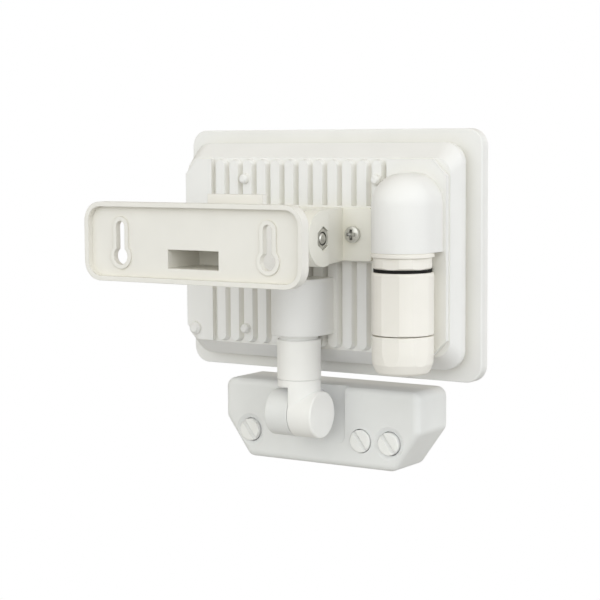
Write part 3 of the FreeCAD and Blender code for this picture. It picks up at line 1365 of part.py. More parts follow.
def make_sensor_rear():
    body = new_body("sensor_rear")
    grow(body, sensor_outline(body, d.sensor_rear), d.sensor_seam - d.sensor_rear)
    fillet(body, d.sensor_round, lambda edge: along(edge, "y"))
    rear = -number(d.sensor_rear)
    fillet(body, d.sensor_edge, lambda edge: flat_at(edge, "y", rear))
    sketch = sketch_on(body, "XZ_Plane", (0, 0, d.sensor_rear - PAST))
    open_end = d.sensor_top + d.scoop_corner + PAST * 2
    rounded_rectangle(sketch, *about(ZERO, d.scoop_wide), d.scoop_low, open_end, d.scoop_corner)
    grow(body, sketch, d.scoop_deep + PAST, cut=True)
    hollow(body, d.sensor_seam)
    axis = (d.neck_depth, d.knuckle_rise)
    rod(body, "X", axis, d.knuckle_radius, (d.knuckle_gap, d.knuckle_half))
    end = number(d.knuckle_half)
    fillet(body, d.knuckle_edge, lambda edge: flat_at(edge, "x", end))
    block(body, (d.knuckle_gap, d.knuckle_half), about(d.knuckle_rise, d.link_half * 2),
          (d.neck_depth, d.sensor_rear + d.scoop_deep + PAST / 2))
    rod(body, "X", axis, d.pin_radius + d.bolt_play, (ZERO, d.knuckle_half + PAST), cut=True)
    rod(body, "X", axis, d.pin_head + d.snap_room,
        (d.knuckle_half - d.pin_head_high, d.knuckle_half + PAST), cut=True)
    for side in knob_sides():
        rod(body, "Y", (side, d.knob_rise), d.knob_radius + d.knob_play,
            (d.sensor_rear - PAST, d.sensor_rear + d.shell_wall + PAST), cut=True)
    for side in (d.knob_first, d.knob_third):
        turn(body, "Y", (side, d.knob_rise), [
            (d.sensor_rear - PAST, ZERO),
            (d.sensor_rear - PAST, d.dish_radius + PAST),
            (d.sensor_rear, d.dish_radius),
            (d.sensor_rear + d.dish_deep, d.knob_radius + d.knob_play),
            (d.sensor_rear + d.dish_deep, ZERO),
        ], cut=True)
    for side, height in board_posts():
        rod(body, "Y", (side, height), d.board_post, (d.sensor_rear + d.shell_wall / 2, d.board_face))


def make_sensor_front():
    body = new_body("sensor_front")
    grow(body, sensor_outline(body, d.sensor_seam), d.sensor_front - d.sensor_seam)
    fillet(body, d.sensor_round, lambda edge: along(edge, "y"))
    front = -number(d.sensor_front)
    fillet(body, d.front_edge, lambda edge: flat_at(edge, "y", front))
    hollow(body, d.sensor_seam)
    rod(body, "Y", (ZERO, d.lens_rise), lens_opening() + d.lens_play, (d.sensor_seam, d.sensor_front + PAST),
        cut=True)


def lens_opening():
    """Radius of the lens dome where it leaves the front shell's inner face."""
    seat = d.sensor_front - d.shell_wall
    rise = seat - d.lens_centre
    return (d.lens_radius * d.lens_radius - rise * rise).power(0.5)


def make_pir_lens():
    """Domed lens with a thin flange behind the front shell."""
    body = new_body("pir_lens")
    seat = d.sensor_front - d.shell_wall
    rod(body, "Y", (ZERO, d.lens_rise), d.lens_flange, (seat - d.lens_wall, seat))
    for kind, radius in (("Additive", d.lens_radius), ("Subtractive", d.lens_radius - d.lens_wall)):
        ball = body.newObject(f"PartDesign::{kind}Sphere", "Dome")
        bind(ball, "Radius", radius)
        bind(ball, "Placement.Base.y", -d.lens_centre)
        bind(ball, "Placement.Base.z", d.lens_rise)
        body.Tip = ball
    span = about(ZERO, d.lens_radius * 3)
    block(body, span, about(d.lens_rise, d.lens_radius * 3),
          (d.lens_centre - d.lens_radius - PAST, seat - d.lens_wall), cut=True)


def make_pir_element():
    body = new_body("pir_element")
    front = d.board_face + d.board_thick
    rod(body, "Y", (ZERO, d.lens_rise), d.pir_radius, (front, front + d.pir_high))
    rod(body, "Y", (ZERO, d.lens_rise), d.pir_radius + d.pir_rim, (front, front + d.pir_rim))


def make_sensor_board():
    body = new_body("sensor_board")
    deep = (d.board_face, d.board_face + d.board_thick)
    block(body, about(ZERO, d.board_wide), (d.board_low, d.board_high), deep, d.board_corner)


def make_trimmers():
    """Potentiometers on the back of the sensor board, one under each knob."""
    things = []
    for index, side in enumerate(knob_sides(), start=1):
        sizes = {"Length": d.trimmer_size, "Width": d.trimmer_high, "Height": d.trimmer_size}
        half = d.trimmer_size / 2
        box = primitive("Part::Box", f"trimmer_box_{index}", sizes,
                        (side - half, d.board_face, d.knob_rise - half))
        hole = primitive("Part::Cylinder", f"trimmer_hole_{index}",
                         {"Radius": d.stem_small + d.shaft_play, "Height": d.trimmer_high - PAST},
                         (side, d.board_face - d.trimmer_high - PAST, d.knob_rise), TO_FRONT)
        things.append(combine("Part::Cut", f"trimmer_{index}", box, hole))
    compound("trimmers", things)


def make_knob(label, side):
    """A round knob with a slanted V trough across its face and a shaft into the trimmer."""
    body = new_body(label)
    outer = d.sensor_rear - d.knob_proud
    inner = outer + d.knob_thick
    turn(body, "Y", (side, d.knob_rise), [
        (outer, ZERO),
        (outer, d.knob_radius - d.ease),
        (outer + d.ease, d.knob_radius),
        (inner, d.knob_radius),
        (inner, d.stem_small),
        (inner + d.shaft_long, d.stem_small),
        (inner + d.shaft_long, ZERO),
    ])
    sine, cosine = sine_cosine(d.grip_turn)
    sketch = sketch_on(body, "XZ_Plane", (0, 0, outer - PAST))
    reach = d.knob_radius + PAST
    half = d.grip_wide / 2
    corners = []
    for far, near in ((-reach, -half), (reach, -half), (reach, half), (-reach, half)):
        corners.append((side + far * cosine - near * sine, d.knob_rise + far * sine + near * cosine))
    polygon(sketch, corners)
    cut = grow(body, sketch, d.grip_deep + PAST, cut=True)
    bind(cut, "TaperAngle", -d.grip_slope)


# Check and write

def check_cuts():
    """Every cut has to take something away from its body."""
    for thing in doc.Objects:
        if thing.TypeId not in ("PartDesign::Pocket", "PartDesign::Groove"):
            continue
        base = thing.BaseFeature
        if base is None:
            continue
        if thing.Shape.Volume > base.Shape.Volume - CLOSE:
            raise ValueError(f"{thing.Name} in {thing.getParent().Label} cuts nothing")


def check_states():
    for thing in doc.Objects:
        if "Invalid" in thing.State or "Error" in thing.State:
            raise ValueError(f"{thing.Name} ({thing.Label}): {thing.State}")
    for label, thing in nodes.items():
        shape = thing.Shape
        if shape.isNull() or not shape.isValid() or not shape.Solids:
            raise ValueError(f"{label}: no valid solid")
        if thing.TypeId == "PartDesign::Body" and len(shape.Solids) != 1:
            raise ValueError(f"{label}: {len(shape.Solids)} solids")


MAKERS = [
    make_wall_bracket, make_tilt_yoke, make_pivot_bolt, make_pivot_nut, make_yoke_screws,
    make_rear_housing, make_front_frame, make_front_glass, make_glass_gasket, make_reflector_tray,
    make_led_board, make_led_chips, make_small_screws, make_gland_collar, make_gland_gasket,
    make_gland_body, make_gland_nut, make_gland_seal, make_terminal_block, make_neck_tube,
    make_neck_seal, make_neck_knuckle, make_knuckle_screw, make_sensor_rear, make_sensor_front,
    make_pir_lens, make_pir_element, make_sensor_board, make_trimmers,
]

for maker in MAKERS:
    maker()
for name, place in (("knob_one", d.knob_first), ("knob_two", d.knob_second), ("knob_three", d.knob_third)):
    make_knob(name, place)
doc.recompute()
check_cuts()
check_states()

os.makedirs("parts", exist_ok=True)
for label, thing in nodes.items():
    thing.Shape.exportStep(os.path.join("parts", f"{label}.step"))
    print(label, len(thing.Shape.Solids), "solid", round(thing.Shape.Volume, 1), "mm3")
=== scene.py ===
"""Looks of the motion sensor floodlight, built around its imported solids.

It keeps the solids' own frame: +Z up, the wall at Y = 0, the lamp shines towards -Y. Blender works in
metres, and sizes are in millimetres where their comment says so.
"""

import json
import math

import bmesh
import bpy
from mathutils import Matrix, Vector


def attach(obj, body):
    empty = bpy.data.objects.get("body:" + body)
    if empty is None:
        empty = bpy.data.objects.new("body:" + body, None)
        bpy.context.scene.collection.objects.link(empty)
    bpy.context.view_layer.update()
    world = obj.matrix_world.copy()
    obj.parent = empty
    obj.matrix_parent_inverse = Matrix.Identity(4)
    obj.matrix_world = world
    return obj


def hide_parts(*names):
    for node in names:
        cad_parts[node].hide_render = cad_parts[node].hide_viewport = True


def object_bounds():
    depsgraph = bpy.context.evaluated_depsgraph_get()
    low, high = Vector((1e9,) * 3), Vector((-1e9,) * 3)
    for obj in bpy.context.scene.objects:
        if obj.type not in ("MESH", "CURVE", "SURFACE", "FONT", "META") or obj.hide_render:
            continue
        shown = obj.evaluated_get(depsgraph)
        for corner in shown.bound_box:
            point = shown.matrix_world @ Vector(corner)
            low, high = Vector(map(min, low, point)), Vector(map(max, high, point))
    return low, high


MM = 0.001

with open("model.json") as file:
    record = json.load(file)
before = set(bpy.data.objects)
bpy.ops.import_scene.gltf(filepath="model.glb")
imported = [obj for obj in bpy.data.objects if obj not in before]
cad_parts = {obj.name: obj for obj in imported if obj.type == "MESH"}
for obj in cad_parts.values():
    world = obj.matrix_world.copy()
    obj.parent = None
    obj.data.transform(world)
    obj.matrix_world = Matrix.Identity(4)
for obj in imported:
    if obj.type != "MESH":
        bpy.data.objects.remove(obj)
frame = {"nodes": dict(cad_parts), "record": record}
nodes = frame["nodes"]
solid_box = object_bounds()
scene = bpy.context.scene


# Node materials

class NodeTree:
    """A small wrapper that adds and links nodes."""

    def __init__(self, tree):
        self.tree = tree
        self.tree.nodes.clear()

    def add(self, kind, **settings):
        node = self.tree.nodes.new(kind)
        for name, value in settings.items():
            setattr(node, name, value)
        return node

    def link(self, start, end):
        self.tree.links.new(start, end)

    def maths(self, operation, first, second):
        """One step of arithmetic on outputs or plain numbers."""
        node = self.add("ShaderNodeMath", operation=operation)
        for socket, value in zip(node.inputs, (first, second)):
            if isinstance(value, float):
                socket.default_value = value
            else:
                self.link(value, socket)
        return node.outputs["Value"]

    def blend(self, factor, first, second):
        """Mixes two shaders."""
        node = self.add("ShaderNodeMixShader")
        self.link(factor, node.inputs["Fac"])
        self.link(first, node.inputs[1])
        self.link(second, node.inputs[2])
        return node.outputs["Shader"]


class Shader(NodeTree):
    """The nodes of one new material."""

    def __init__(self, name):
        self.material = bpy.data.materials.new(name)
        self.material.use_nodes = True
        super().__init__(self.material.node_tree)
        self.output = self.add("ShaderNodeOutputMaterial")
        self.place = self.add("ShaderNodeTexCoord")

    def noise(self, spacing, detail=3.0):
        """Noise whose grains are about one spacing wide, in millimetres."""
        node = self.add("ShaderNodeTexNoise")
        node.inputs["Scale"].default_value = 1.0 / (spacing * MM)
        node.inputs["Detail"].default_value = detail
        node.inputs["Roughness"].default_value = 0.55
        self.link(self.place.outputs["Object"], node.inputs["Vector"])
        return node.outputs["Fac"]

    def ramp(self, value, low, high, start, end):
        """Maps a value between two limits to the range from start to end."""
        node = self.add("ShaderNodeMapRange")
        node.inputs["From Min"].default_value = low
        node.inputs["From Max"].default_value = high
        node.inputs["To Min"].default_value = start
        node.inputs["To Max"].default_value = end
        self.link(value, node.inputs["Value"])
        return node.outputs["Result"]

    def mix(self, factor, first, second, blend_type="MIX"):
        """Blends two colours, each a tuple or an output."""
        node = self.add("ShaderNodeMix", data_type="RGBA", blend_type=blend_type)
        self.link(factor, [s for s in node.inputs if s.type == "VALUE"][0])
        sockets = [s for s in node.inputs if s.type == "RGBA"]
        for socket, colour in zip(sockets, (first, second)):
            if isinstance(colour, tuple):
                socket.default_value = (*colour, 1.0)
            else:
                self.link(colour, socket)
        return [s for s in node.outputs if s.type == "RGBA"][0]

    def ridge(self, value):
        """Distance from the nearest whole number, 0 on the number and 0.5 between two."""
        return self.maths("PINGPONG", value, 0.5)

    def bump(self, height, depth, normal=None):
        """Bump of a height map whose full swing is a depth in millimetres."""
        node = self.add("ShaderNodeBump")
        node.inputs["Strength"].default_value = 1.0
        node.inputs["Distance"].default_value = depth * MM
        self.link(height, node.inputs["Height"])
        if normal is not None:
            self.link(normal, node.inputs["Normal"])
        return node.outputs["Normal"]

    def soft_edges(self, radius):
        """Normals that round every sharp edge by a radius in millimetres."""
        node = self.add("ShaderNodeBevel", samples=6)
        node.inputs["Radius"].default_value = radius * MM
        return node.outputs["Normal"]

    def painted_recess_shade(self, colour, tint, reach):
        """Painted shade: tints a colour where other surfaces within a reach in millimetres close it in."""
        node = self.add("ShaderNodeAmbientOcclusion", samples=8)
        node.inputs["Distance"].default_value = reach * MM
        painted_shade_share = self.ramp(node.outputs["AO"], 0.25, 0.95, 1.0, 0.0)
        return self.mix(painted_shade_share, colour, tint, "MULTIPLY")

    def finish(self, shader):
        self.link(shader, self.output.inputs["Surface"])
        return self.material


# Painted warm shade, the tone that light takes on between white surfaces, and how far it reaches in
# millimetres
WARM_SHADE = (0.985, 0.97, 0.905)
SHADE_REACH = 14.0
# How far the painted shade in a metal's recesses reaches, in millimetres
METAL_SHADE_REACH = 1.2


def moulded(name, colour, roughness=0.45, grain=0.35, depth=0.006, edge=0.35, warm_painted_shade=False):
    """Moulded plastic: fine grain, faint flow marks and slightly rounded edges."""
    s = Shader(name)
    shader = s.add("ShaderNodeBsdfPrincipled")
    flow = s.noise(24.0, detail=2.0)
    speck = s.noise(grain, detail=2.0)
    darker = tuple(part * 0.96 for part in colour)
    tone = s.mix(s.ramp(flow, 0.35, 0.65, 0.0, 1.0), colour, darker)
    # Painted warm shade where other surfaces close the plastic in, if asked for
    if warm_painted_shade:
        tone = s.painted_recess_shade(tone, WARM_SHADE, SHADE_REACH)
    s.link(tone, shader.inputs["Base Color"])
    s.link(s.ramp(speck, 0.3, 0.7, roughness - 0.05, roughness + 0.06), shader.inputs["Roughness"])
    shader.inputs["Specular IOR Level"].default_value = 0.5
    s.link(s.bump(speck, depth, s.soft_edges(edge)), shader.inputs["Normal"])
    return s.finish(shader.outputs["BSDF"])


def powder_coat(name, colour, warm_painted_shade=False):
    """White powder coat on a casting: soft orange peel with a finer grain in it."""
    s = Shader(name)
    shader = s.add("ShaderNodeBsdfPrincipled")
    peel = s.noise(1.1, detail=1.0)
    grain = s.noise(0.25, detail=2.0)
    cloud = s.noise(30.0, detail=2.0)
    darker = tuple(part * 0.97 for part in colour)
    tone = s.mix(s.ramp(cloud, 0.35, 0.65, 0.0, 1.0), colour, darker)
    # Painted warm shade where other surfaces close the paint in, if asked for
    if warm_painted_shade:
        tone = s.painted_recess_shade(tone, WARM_SHADE, SHADE_REACH)
    s.link(tone, shader.inputs["Base Color"])
    s.link(s.ramp(grain, 0.3, 0.7, 0.38, 0.48), shader.inputs["Roughness"])
    shader.inputs["Specular IOR Level"].default_value = 0.5
    rounded = s.bump(peel, 0.02, s.soft_edges(0.45))
    s.link(s.bump(grain, 0.004, rounded), shader.inputs["Normal"])
    return s.finish(shader.outputs["BSDF"])


def metal(name, colour, roughness, shade=(0.40, 0.39, 0.37)):
    """Plated or plain metal with fine scratches, and painted shade in its recesses."""
    s = Shader(name)
    shader = s.add("ShaderNodeBsdfPrincipled")
    scratch = s.noise(0.5, detail=4.0)
    stain = s.noise(3.0, detail=2.0)
    darker = tuple(part * 0.82 for part in colour)
    tone = s.mix(s.ramp(stain, 0.35, 0.7, 0.0, 1.0), colour, darker)
    # Painted shade darkens the metal where its recesses close in
    s.link(s.painted_recess_shade(tone, shade, METAL_SHADE_REACH), shader.inputs["Base Color"])
    s.link(s.ramp(scratch, 0.3, 0.7, roughness - 0.08, roughness + 0.12), shader.inputs["Roughness"])
    shader.inputs["Metallic"].default_value = 1.0
    s.link(s.bump(scratch, 0.004, s.soft_edges(0.15)), shader.inputs["Normal"])
    return s.finish(shader.outputs["BSDF"])


def rubber(name, colour):
    """Rubber with a fine grain and a little dust."""
    s = Shader(name)
    shader = s.add("ShaderNodeBsdfPrincipled")
    grain = s.noise(0.3, detail=3.0)
    dust = s.noise(6.0, detail=3.0)
    lighter = tuple(part * 1.6 for part in colour)
    s.link(s.mix(s.ramp(dust, 0.4, 0.7, 0.0, 1.0), colour, lighter), shader.inputs["Base Color"])
    s.link(s.ramp(grain, 0.3, 0.7, 0.6, 0.8), shader.inputs["Roughness"])
    shader.inputs["Specular IOR Level"].default_value = 0.15
    s.link(s.bump(grain, 0.01, s.soft_edges(0.2)), shader.inputs["Normal"])
    return s.finish(shader.outputs["BSDF"])


def clear_glass(name):
    """Thin tempered glass, as a clear sheet with soft reflections."""
    s = Shader(name)
    glossy = s.add("ShaderNodeBsdfGlossy")
    wave = s.noise(40.0, detail=1.0)
    s.link(s.ramp(wave, 0.3, 0.7, 0.02, 0.05), glossy.inputs["Roughness"])
    through = s.add("ShaderNodeBsdfTransparent")
    through.inputs["Color"].default_value = (0.94, 0.97, 0.96, 1.0)
    fresnel = s.add("ShaderNodeFresnel")
    fresnel.inputs["IOR"].default_value = 1.5
    return s.finish(s.blend(fresnel.outputs["Fac"], through.outputs["BSDF"], glossy.outputs["BSDF"]))


# Centre of the lens dome, and the angle and height of one lens cell
LENS_CENTRE = (0.0, -131.5 * MM, -90.2 * MM)
LENS_COLUMN = math.radians(17.0)
LENS_ROW = 4.6 * MM


def lens_film(name, colour, centre):
    """Milky lens of the motion sensor: rows of small lens cells round the dome's centre."""
    s = Shader(name)
    shader = s.add("ShaderNodeBsdfPrincipled")
    offset = s.add("ShaderNodeVectorMath", operation="SUBTRACT")
    s.link(s.place.outputs["Object"], offset.inputs[0])
    offset.inputs[1].default_value = centre
    parts = s.add("ShaderNodeSeparateXYZ")
    s.link(offset.outputs["Vector"], parts.inputs["Vector"])
    ahead = s.maths("MULTIPLY", parts.outputs["Y"], -1.0)
    column = s.maths("DIVIDE", s.maths("ARCTAN2", parts.outputs["X"], ahead), LENS_COLUMN)
    row = s.maths("DIVIDE", parts.outputs["Z"], LENS_ROW)
    rim = s.maths("MINIMUM", s.ridge(column), s.ridge(row))
    rim = s.ramp(rim, 0.0, 0.12, 0.0, 1.0)
    darker = tuple(part * 0.86 for part in colour)
    s.link(s.mix(rim, darker, colour), shader.inputs["Base Color"])
    s.link(s.ramp(s.noise(0.6), 0.3, 0.7, 0.28, 0.36), shader.inputs["Roughness"])
    shader.inputs["Subsurface Weight"].default_value = 0.3
    shader.inputs["Subsurface Radius"].default_value = (0.004, 0.004, 0.004)
    shader.inputs["Subsurface Scale"].default_value = 1.0
    s.link(s.bump(rim, 0.12), shader.inputs["Normal"])
    return s.finish(shader.outputs["BSDF"])


# Whites of the bracket, the housing, its frame, the sensor and its neck
WARM_WHITE = (0.81, 0.80, 0.79)
PAINT_WHITE = (0.82, 0.823, 0.845)
FRAME_WHITE = (0.845, 0.847, 0.87)
SENSOR_WHITE = (0.79, 0.80, 0.82)
NECK_WHITE = (0.90, 0.90, 0.91)

# Some materials below get a painted warm shade in their recesses, and the metals a painted darker shade
MATERIALS = {
    "bracket_plastic": moulded("bracket_plastic", WARM_WHITE, edge=0.5, warm_painted_shade=True),
    "yoke_plastic": moulded("yoke_plastic", (0.865, 0.86, 0.83), warm_painted_shade=True),
    "zinc_steel": metal("zinc_steel", (0.76, 0.76, 0.74), 0.32, shade=(0.16, 0.155, 0.15)),
    "frame_screw_steel": metal("frame_screw_steel", (0.60, 0.60, 0.60), 0.28),
    "housing_paint": powder_coat("housing_paint", PAINT_WHITE, warm_painted_shade=True),
    "frame_paint": powder_coat("frame_paint", FRAME_WHITE),
    "clear_glass": clear_glass("clear_glass"),
    "black_rubber": rubber("black_rubber", (0.008, 0.008, 0.008)),
    "reflector_plastic": moulded("reflector_plastic", (0.82, 0.82, 0.81), roughness=0.2, depth=0.002),
    "board_white": moulded("board_white", (0.80, 0.80, 0.79), roughness=0.5, grain=0.2),
    "led_phosphor": moulded("led_phosphor", (0.80, 0.62, 0.12), roughness=0.4, grain=0.1),
    "gland_plastic": moulded("gland_plastic", (0.86, 0.84, 0.82), grain=0.3, warm_painted_shade=True),
    "terminal_plastic": moulded("terminal_plastic", (0.70, 0.70, 0.68)),
    "neck_plastic": moulded("neck_plastic", NECK_WHITE),
    "sensor_plastic": moulded("sensor_plastic", SENSOR_WHITE, roughness=0.5),
    "lens_plastic": lens_film("lens_plastic", (0.80, 0.81, 0.81), LENS_CENTRE),
    "pir_can": metal("pir_can", (0.70, 0.68, 0.62), 0.25),
    "board_green": moulded("board_green", (0.03, 0.16, 0.06), roughness=0.35),
    "trimmer_blue": moulded("trimmer_blue", (0.03, 0.10, 0.40), roughness=0.4),
    "knob_plastic": moulded("knob_plastic", (0.86, 0.865, 0.875)),
}


# CAD nodes: each gets the material of its slot

for part in frame["record"]["subparts"]:
    thing = nodes[part["node"]]
    thing.data.materials.clear()
    thing.data.materials.append(MATERIALS[part["material_slot"]])


# Pieces that stand for plain solids with more detail

def piece(name, points, faces, slot_name, body, replaced, smooth_angle=30.0):
    """A mesh from points in millimetres, with the material of its slot, put on its body; the solids it stands
    for are hidden.
    """
    mesh = bpy.data.meshes.new(name)
    mesh.from_pydata([Vector(point) * MM for point in points], [], faces)
    mesh.validate()
    thing = bpy.data.objects.new(name, mesh)
    scene.collection.objects.link(thing)
    bm = bmesh.new()
    bm.from_mesh(mesh)
    bmesh.ops.remove_doubles(bm, verts=bm.verts, dist=1e-6)
    bmesh.ops.recalc_face_normals(bm, faces=bm.faces)
    bm.to_mesh(mesh)
    bm.free()
    mesh.shade_smooth()
    mesh.set_sharp_from_angle(angle=math.radians(smooth_angle))
    mesh.materials.append(MATERIALS[slot_name])
    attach(thing, body)
    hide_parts(*replaced)


def ring_faces(first, second, count):
    """Quads between two rings of points that start at two indices."""
    return [(first + k, first + (k + 1) % count, second + (k + 1) % count, second + k) for k in range(count)]


def lathe(rings, place, count):
    """Points and faces of stacked rings. Each ring gives (along, radius) for each angle."""
    points, faces = [], []
    for ring in rings:
        for k in range(count):
            turn = 2 * math.pi * k / count
            along, radius = ring(turn)
            points.append(place(along, radius * math.cos(turn), radius * math.sin(turn)))
    for index in range(len(rings) - 1):
        faces += ring_faces(index * count, (index + 1) * count, count)
    return points, faces


def merged(*parts):
    """Joins several (points, faces) lists into one."""
    points, faces = [], []
    for part_points, part_faces in parts:
        start = len(points)
        points += part_points
        faces += [tuple(start + index for index in face) for face in part_faces]
    return points, faces


def flat(along, radius):
    """A ring that is the same at every angle."""
    return lambda turn: (along, radius)


# Tilt hinge, in millimetres: its axis in Y and Z, flats of its hexagons, pitch of its thread
PIVOT = (-74.7, 5.9)
HINGE_FLATS = 10.0
THREAD_PITCH = 1.0
# Along the hinge: the bolt's head, the nut, the threaded length and the end of the tip
HEAD_NEAR, HEAD_FAR = 18.4, 22.4
NUT_NEAR, NUT_FAR = -18.4, -23.4
THREAD_START, THREAD_END, TIP_END = -14.4, -23.2, -23.85
# Radii of the nut's bore, the bolt's shank, the thread's root and the head's flat crown
BORE_RADIUS, SHANK_RADIUS, ROOT_RADIUS, CROWN_RADIUS = 3.3, 2.94, 2.7, 2.9
# Points round hexagons, threads and screws, and rings in each turn of a thread
HEX_COUNT, THREAD_COUNT, SCREW_COUNT, TURN_RINGS = 96, 48, 72, 8
# Radius of a ring that closes on its axis
CLOSED = 0.001


def thread(start, end, radius, deep, place):
    """A helical thread surface between two places along its axis."""
    steps = int(abs(end - start) / THREAD_PITCH * TURN_RINGS)
    rings = []
    for step in range(steps + 1):
        along = start + (end - start) * step / steps

        def ring(turn, along=along):
            phase = (along / THREAD_PITCH + turn / (2 * math.pi)) % 1.0
            return along, radius - deep * abs(2 * phase - 1)
        rings.append(ring)
    return lathe(rings, place, THREAD_COUNT)


def at_pivot(along, across, up):
    """A point near the tilt hinge, from its place along, across and above the hinge's axis."""
    return (along, PIVOT[0] + across, PIVOT[1] + up)


def hex_radius(turn, flats):
    """Distance from the axis to a hexagon with a corner at a quarter turn."""
    step = math.radians(60)
    return flats / 2 / math.cos((turn - math.radians(90)) % step - step / 2)


def hex_prism(near, far, flats, inner, place):
    """Hexagon with its corners bevelled on both faces, round a bore of an inner radius."""
    bevel_radius = flats / 2 * 0.97
    slope = math.tan(math.radians(30))
    way = 1 if far > near else -1

    def face_ring(along):
        return lambda turn: (along, min(hex_radius(turn, flats), bevel_radius))

    def side_ring(along, inward):
        def ring(turn):
            radius = hex_radius(turn, flats)
            return along + inward * way * max(0.0, radius - bevel_radius) * slope, radius
        return ring
    rings = [flat(near, inner), face_ring(near), side_ring(near, 1), side_ring(far, -1), face_ring(far),
             flat(far, inner)]
    return lathe(rings, place, HEX_COUNT)


def make_hinge_nut():
    """Hexagon nut with its thread."""
    body = hex_prism(NUT_NEAR, NUT_FAR, HINGE_FLATS, BORE_RADIUS, at_pivot)
    bore = thread(NUT_NEAR, NUT_FAR, BORE_RADIUS, 0.3, at_pivot)
    piece("hinge_nut", *merged(body, bore), "zinc_steel", "lamp", ("pivot_nut",), smooth_angle=25)


def make_hinge_bolt():
    """Hexagon head bolt with its thread showing in the nut."""
    head = hex_prism(HEAD_NEAR, HEAD_FAR, HINGE_FLATS, CROWN_RADIUS, at_pivot)
    crown = lathe([flat(HEAD_FAR, CROWN_RADIUS), flat(HEAD_FAR, CLOSED)], at_pivot, HEX_COUNT)
    shank = lathe([flat(18.6, SHANK_RADIUS), flat(-14.0, SHANK_RADIUS), flat(THREAD_START, ROOT_RADIUS)],
                  at_pivot, THREAD_COUNT)
    screw = thread(THREAD_START, THREAD_END, SHANK_RADIUS, 0.5, at_pivot)
    tip = lathe([flat(THREAD_END, ROOT_RADIUS), flat(-23.8, 2.1), flat(TIP_END, CLOSED)],
                at_pivot, THREAD_COUNT)
    piece("hinge_bolt", *merged(head, crown, shank, screw, tip), "zinc_steel", "lamp", ("pivot_bolt",),
          smooth_angle=25)


# Cross recess of a screw: length and half width of an arm by the head's radius, depth by its height
CROSS_ARM, CROSS_HALF, CROSS_DEEP = 0.6, 0.15, 0.8


def cross_head(radius, high, dome, place):
    """A rounded head with a tapered cross recess, as a grid of rings round its axis.
    Along is 0 under the head and the head's height on top."""
    arm = radius * CROSS_ARM
    half = radius * CROSS_HALF

    def top(distance):
        return high - dome * (distance / radius) ** 2.2

    def recess(distance, turn):
        """Depth of the cross at a point of the head's top."""
        x, y = abs(distance * math.cos(turn)), abs(distance * math.sin(turn))
        long, short = max(x, y), min(x, y)
        if long > arm or short > half + (arm - long) * 0.12:
            return 0.0
        return (high * CROSS_DEEP) * (1 - (long / arm) ** 3 * 0.55)
    rings = [flat(0.0, radius * 0.97), flat(high * 0.12, radius)]
    for share in (0.35, 0.5, 0.62):
        rings.append(flat(high * share * 0.8, radius * (1 - 0.04 * share ** 2)))
    steps = 26
    for step in range(steps):
        distance = radius * 0.955 * (1 - step / steps)

        def ring(turn, distance=distance):
            return top(distance) - recess(distance, turn), distance
        rings.append(ring)
    rings.append(flat(high * 0.18, CLOSED))
    return lathe(rings, place, SCREW_COUNT)


def screw_piece(name, places, bearing, radius, high, dome, to_rear, slot_name, node, shank):
    """Screws along Y. Places are (X, Z), the bearing is the Y of the heads' underside, and the shank is
    its radius and length."""
    way = 1 if to_rear else -1
    stem_radius, stem_length = shank
    parts = []
    for x, z in places:
        def place(along, across, up, x=x, z=z):
            return (x + across, bearing + way * along, z + up)
        parts.append(cross_head(radius, high, dome, place))
        parts.append(lathe([flat(0.0, radius * 0.97), flat(0.0, stem_radius), flat(-stem_length, stem_radius),
                            flat(-stem_length, CLOSED)], place, SCREW_COUNT))
    piece(name, *merged(*parts), slot_name, "lamp", (node,), smooth_angle=28)


# Middle of the lamp's front in Z and face of the LED board in Y, in millimetres
LAMP_MIDDLE, BOARD_FACE = -3.5, -108.2
# LEDs: columns, rows and pitch, half widths of a package and of its field, its front and the field's floor
LED_COLUMNS, LED_ROWS, LED_PITCH = 9, 5, 13.0
LED_HALF, FIELD_HALF, LED_FRONT, FIELD_FLOOR = 1.4, 1.08, -109.0, -108.75


def around_lamp(side, up):
    """Four places (X, Z) round the middle of the lamp's front."""
    return [(x, LAMP_MIDDLE + z) for x in (side, -side) for z in (up, -up)]


def make_screws():
    """Screws of the yoke, the frame and the LED board."""
    screw_piece("yoke_pan_screws", [(27.2, 6.9), (-27.2, 6.9)], -96.5, 4.1, 2.6, 0.9, True, "zinc_steel",
                "yoke_screws", (1.95, 7.0))
    screw_piece("frame_flat_screws", around_lamp(79.6, 55.6), -124.2, 2.7, 1.4, 0.15, False,
                "frame_screw_steel", "frame_screws", (1.45, 4.2))
    screw_piece("board_screws", around_lamp(66.5, 38.5), BOARD_FACE, 2.7, 1.4, 0.4, False, "zinc_steel",
                "led_screws", (1.45, 3.4))


def make_leds():
    """LED packages: a white frame each, and a crowned yellow die field inside it."""
    frames, fields = [], []
    for column in range(LED_COLUMNS):
        for row in range(LED_ROWS):
            x = LED_PITCH * (LED_COLUMNS // 2 - column)
            z = LAMP_MIDDLE + LED_PITCH * (LED_ROWS // 2 - row)
            ring = []
            for half, y in ((LED_HALF, BOARD_FACE), (LED_HALF, LED_FRONT), (FIELD_HALF, LED_FRONT),
                            (FIELD_HALF, FIELD_FLOOR)):
                ring += [(x - half, y, z - half), (x + half, y, z - half), (x + half, y, z + half),
                         (x - half, y, z + half)]
            faces = ring_faces(0, 4, 4) + ring_faces(4, 8, 4) + ring_faces(8, 12, 4)
            frames.append((ring, faces))
            steps = 6
            grid, quads = [], []
            for i in range(steps + 1):
                for j in range(steps + 1):
                    u = 2 * i / steps - 1
                    v = 2 * j / steps - 1
                    crown = 0.18 * (1 - u * u) * (1 - v * v)
                    grid.append((x + u * FIELD_HALF, FIELD_FLOOR - crown, z + v * FIELD_HALF))
            for i in range(steps):
                for j in range(steps):
                    start = i * (steps + 1) + j
                    quads.append((start, start + 1, start + steps + 2, start + steps + 1))
            fields.append((grid, quads))
    piece("led_frames", *merged(*frames), "board_white", "lamp", ("led_chips",))
    piece("led_fields", *merged(*fields), "led_phosphor", "lamp", ("led_chips",))


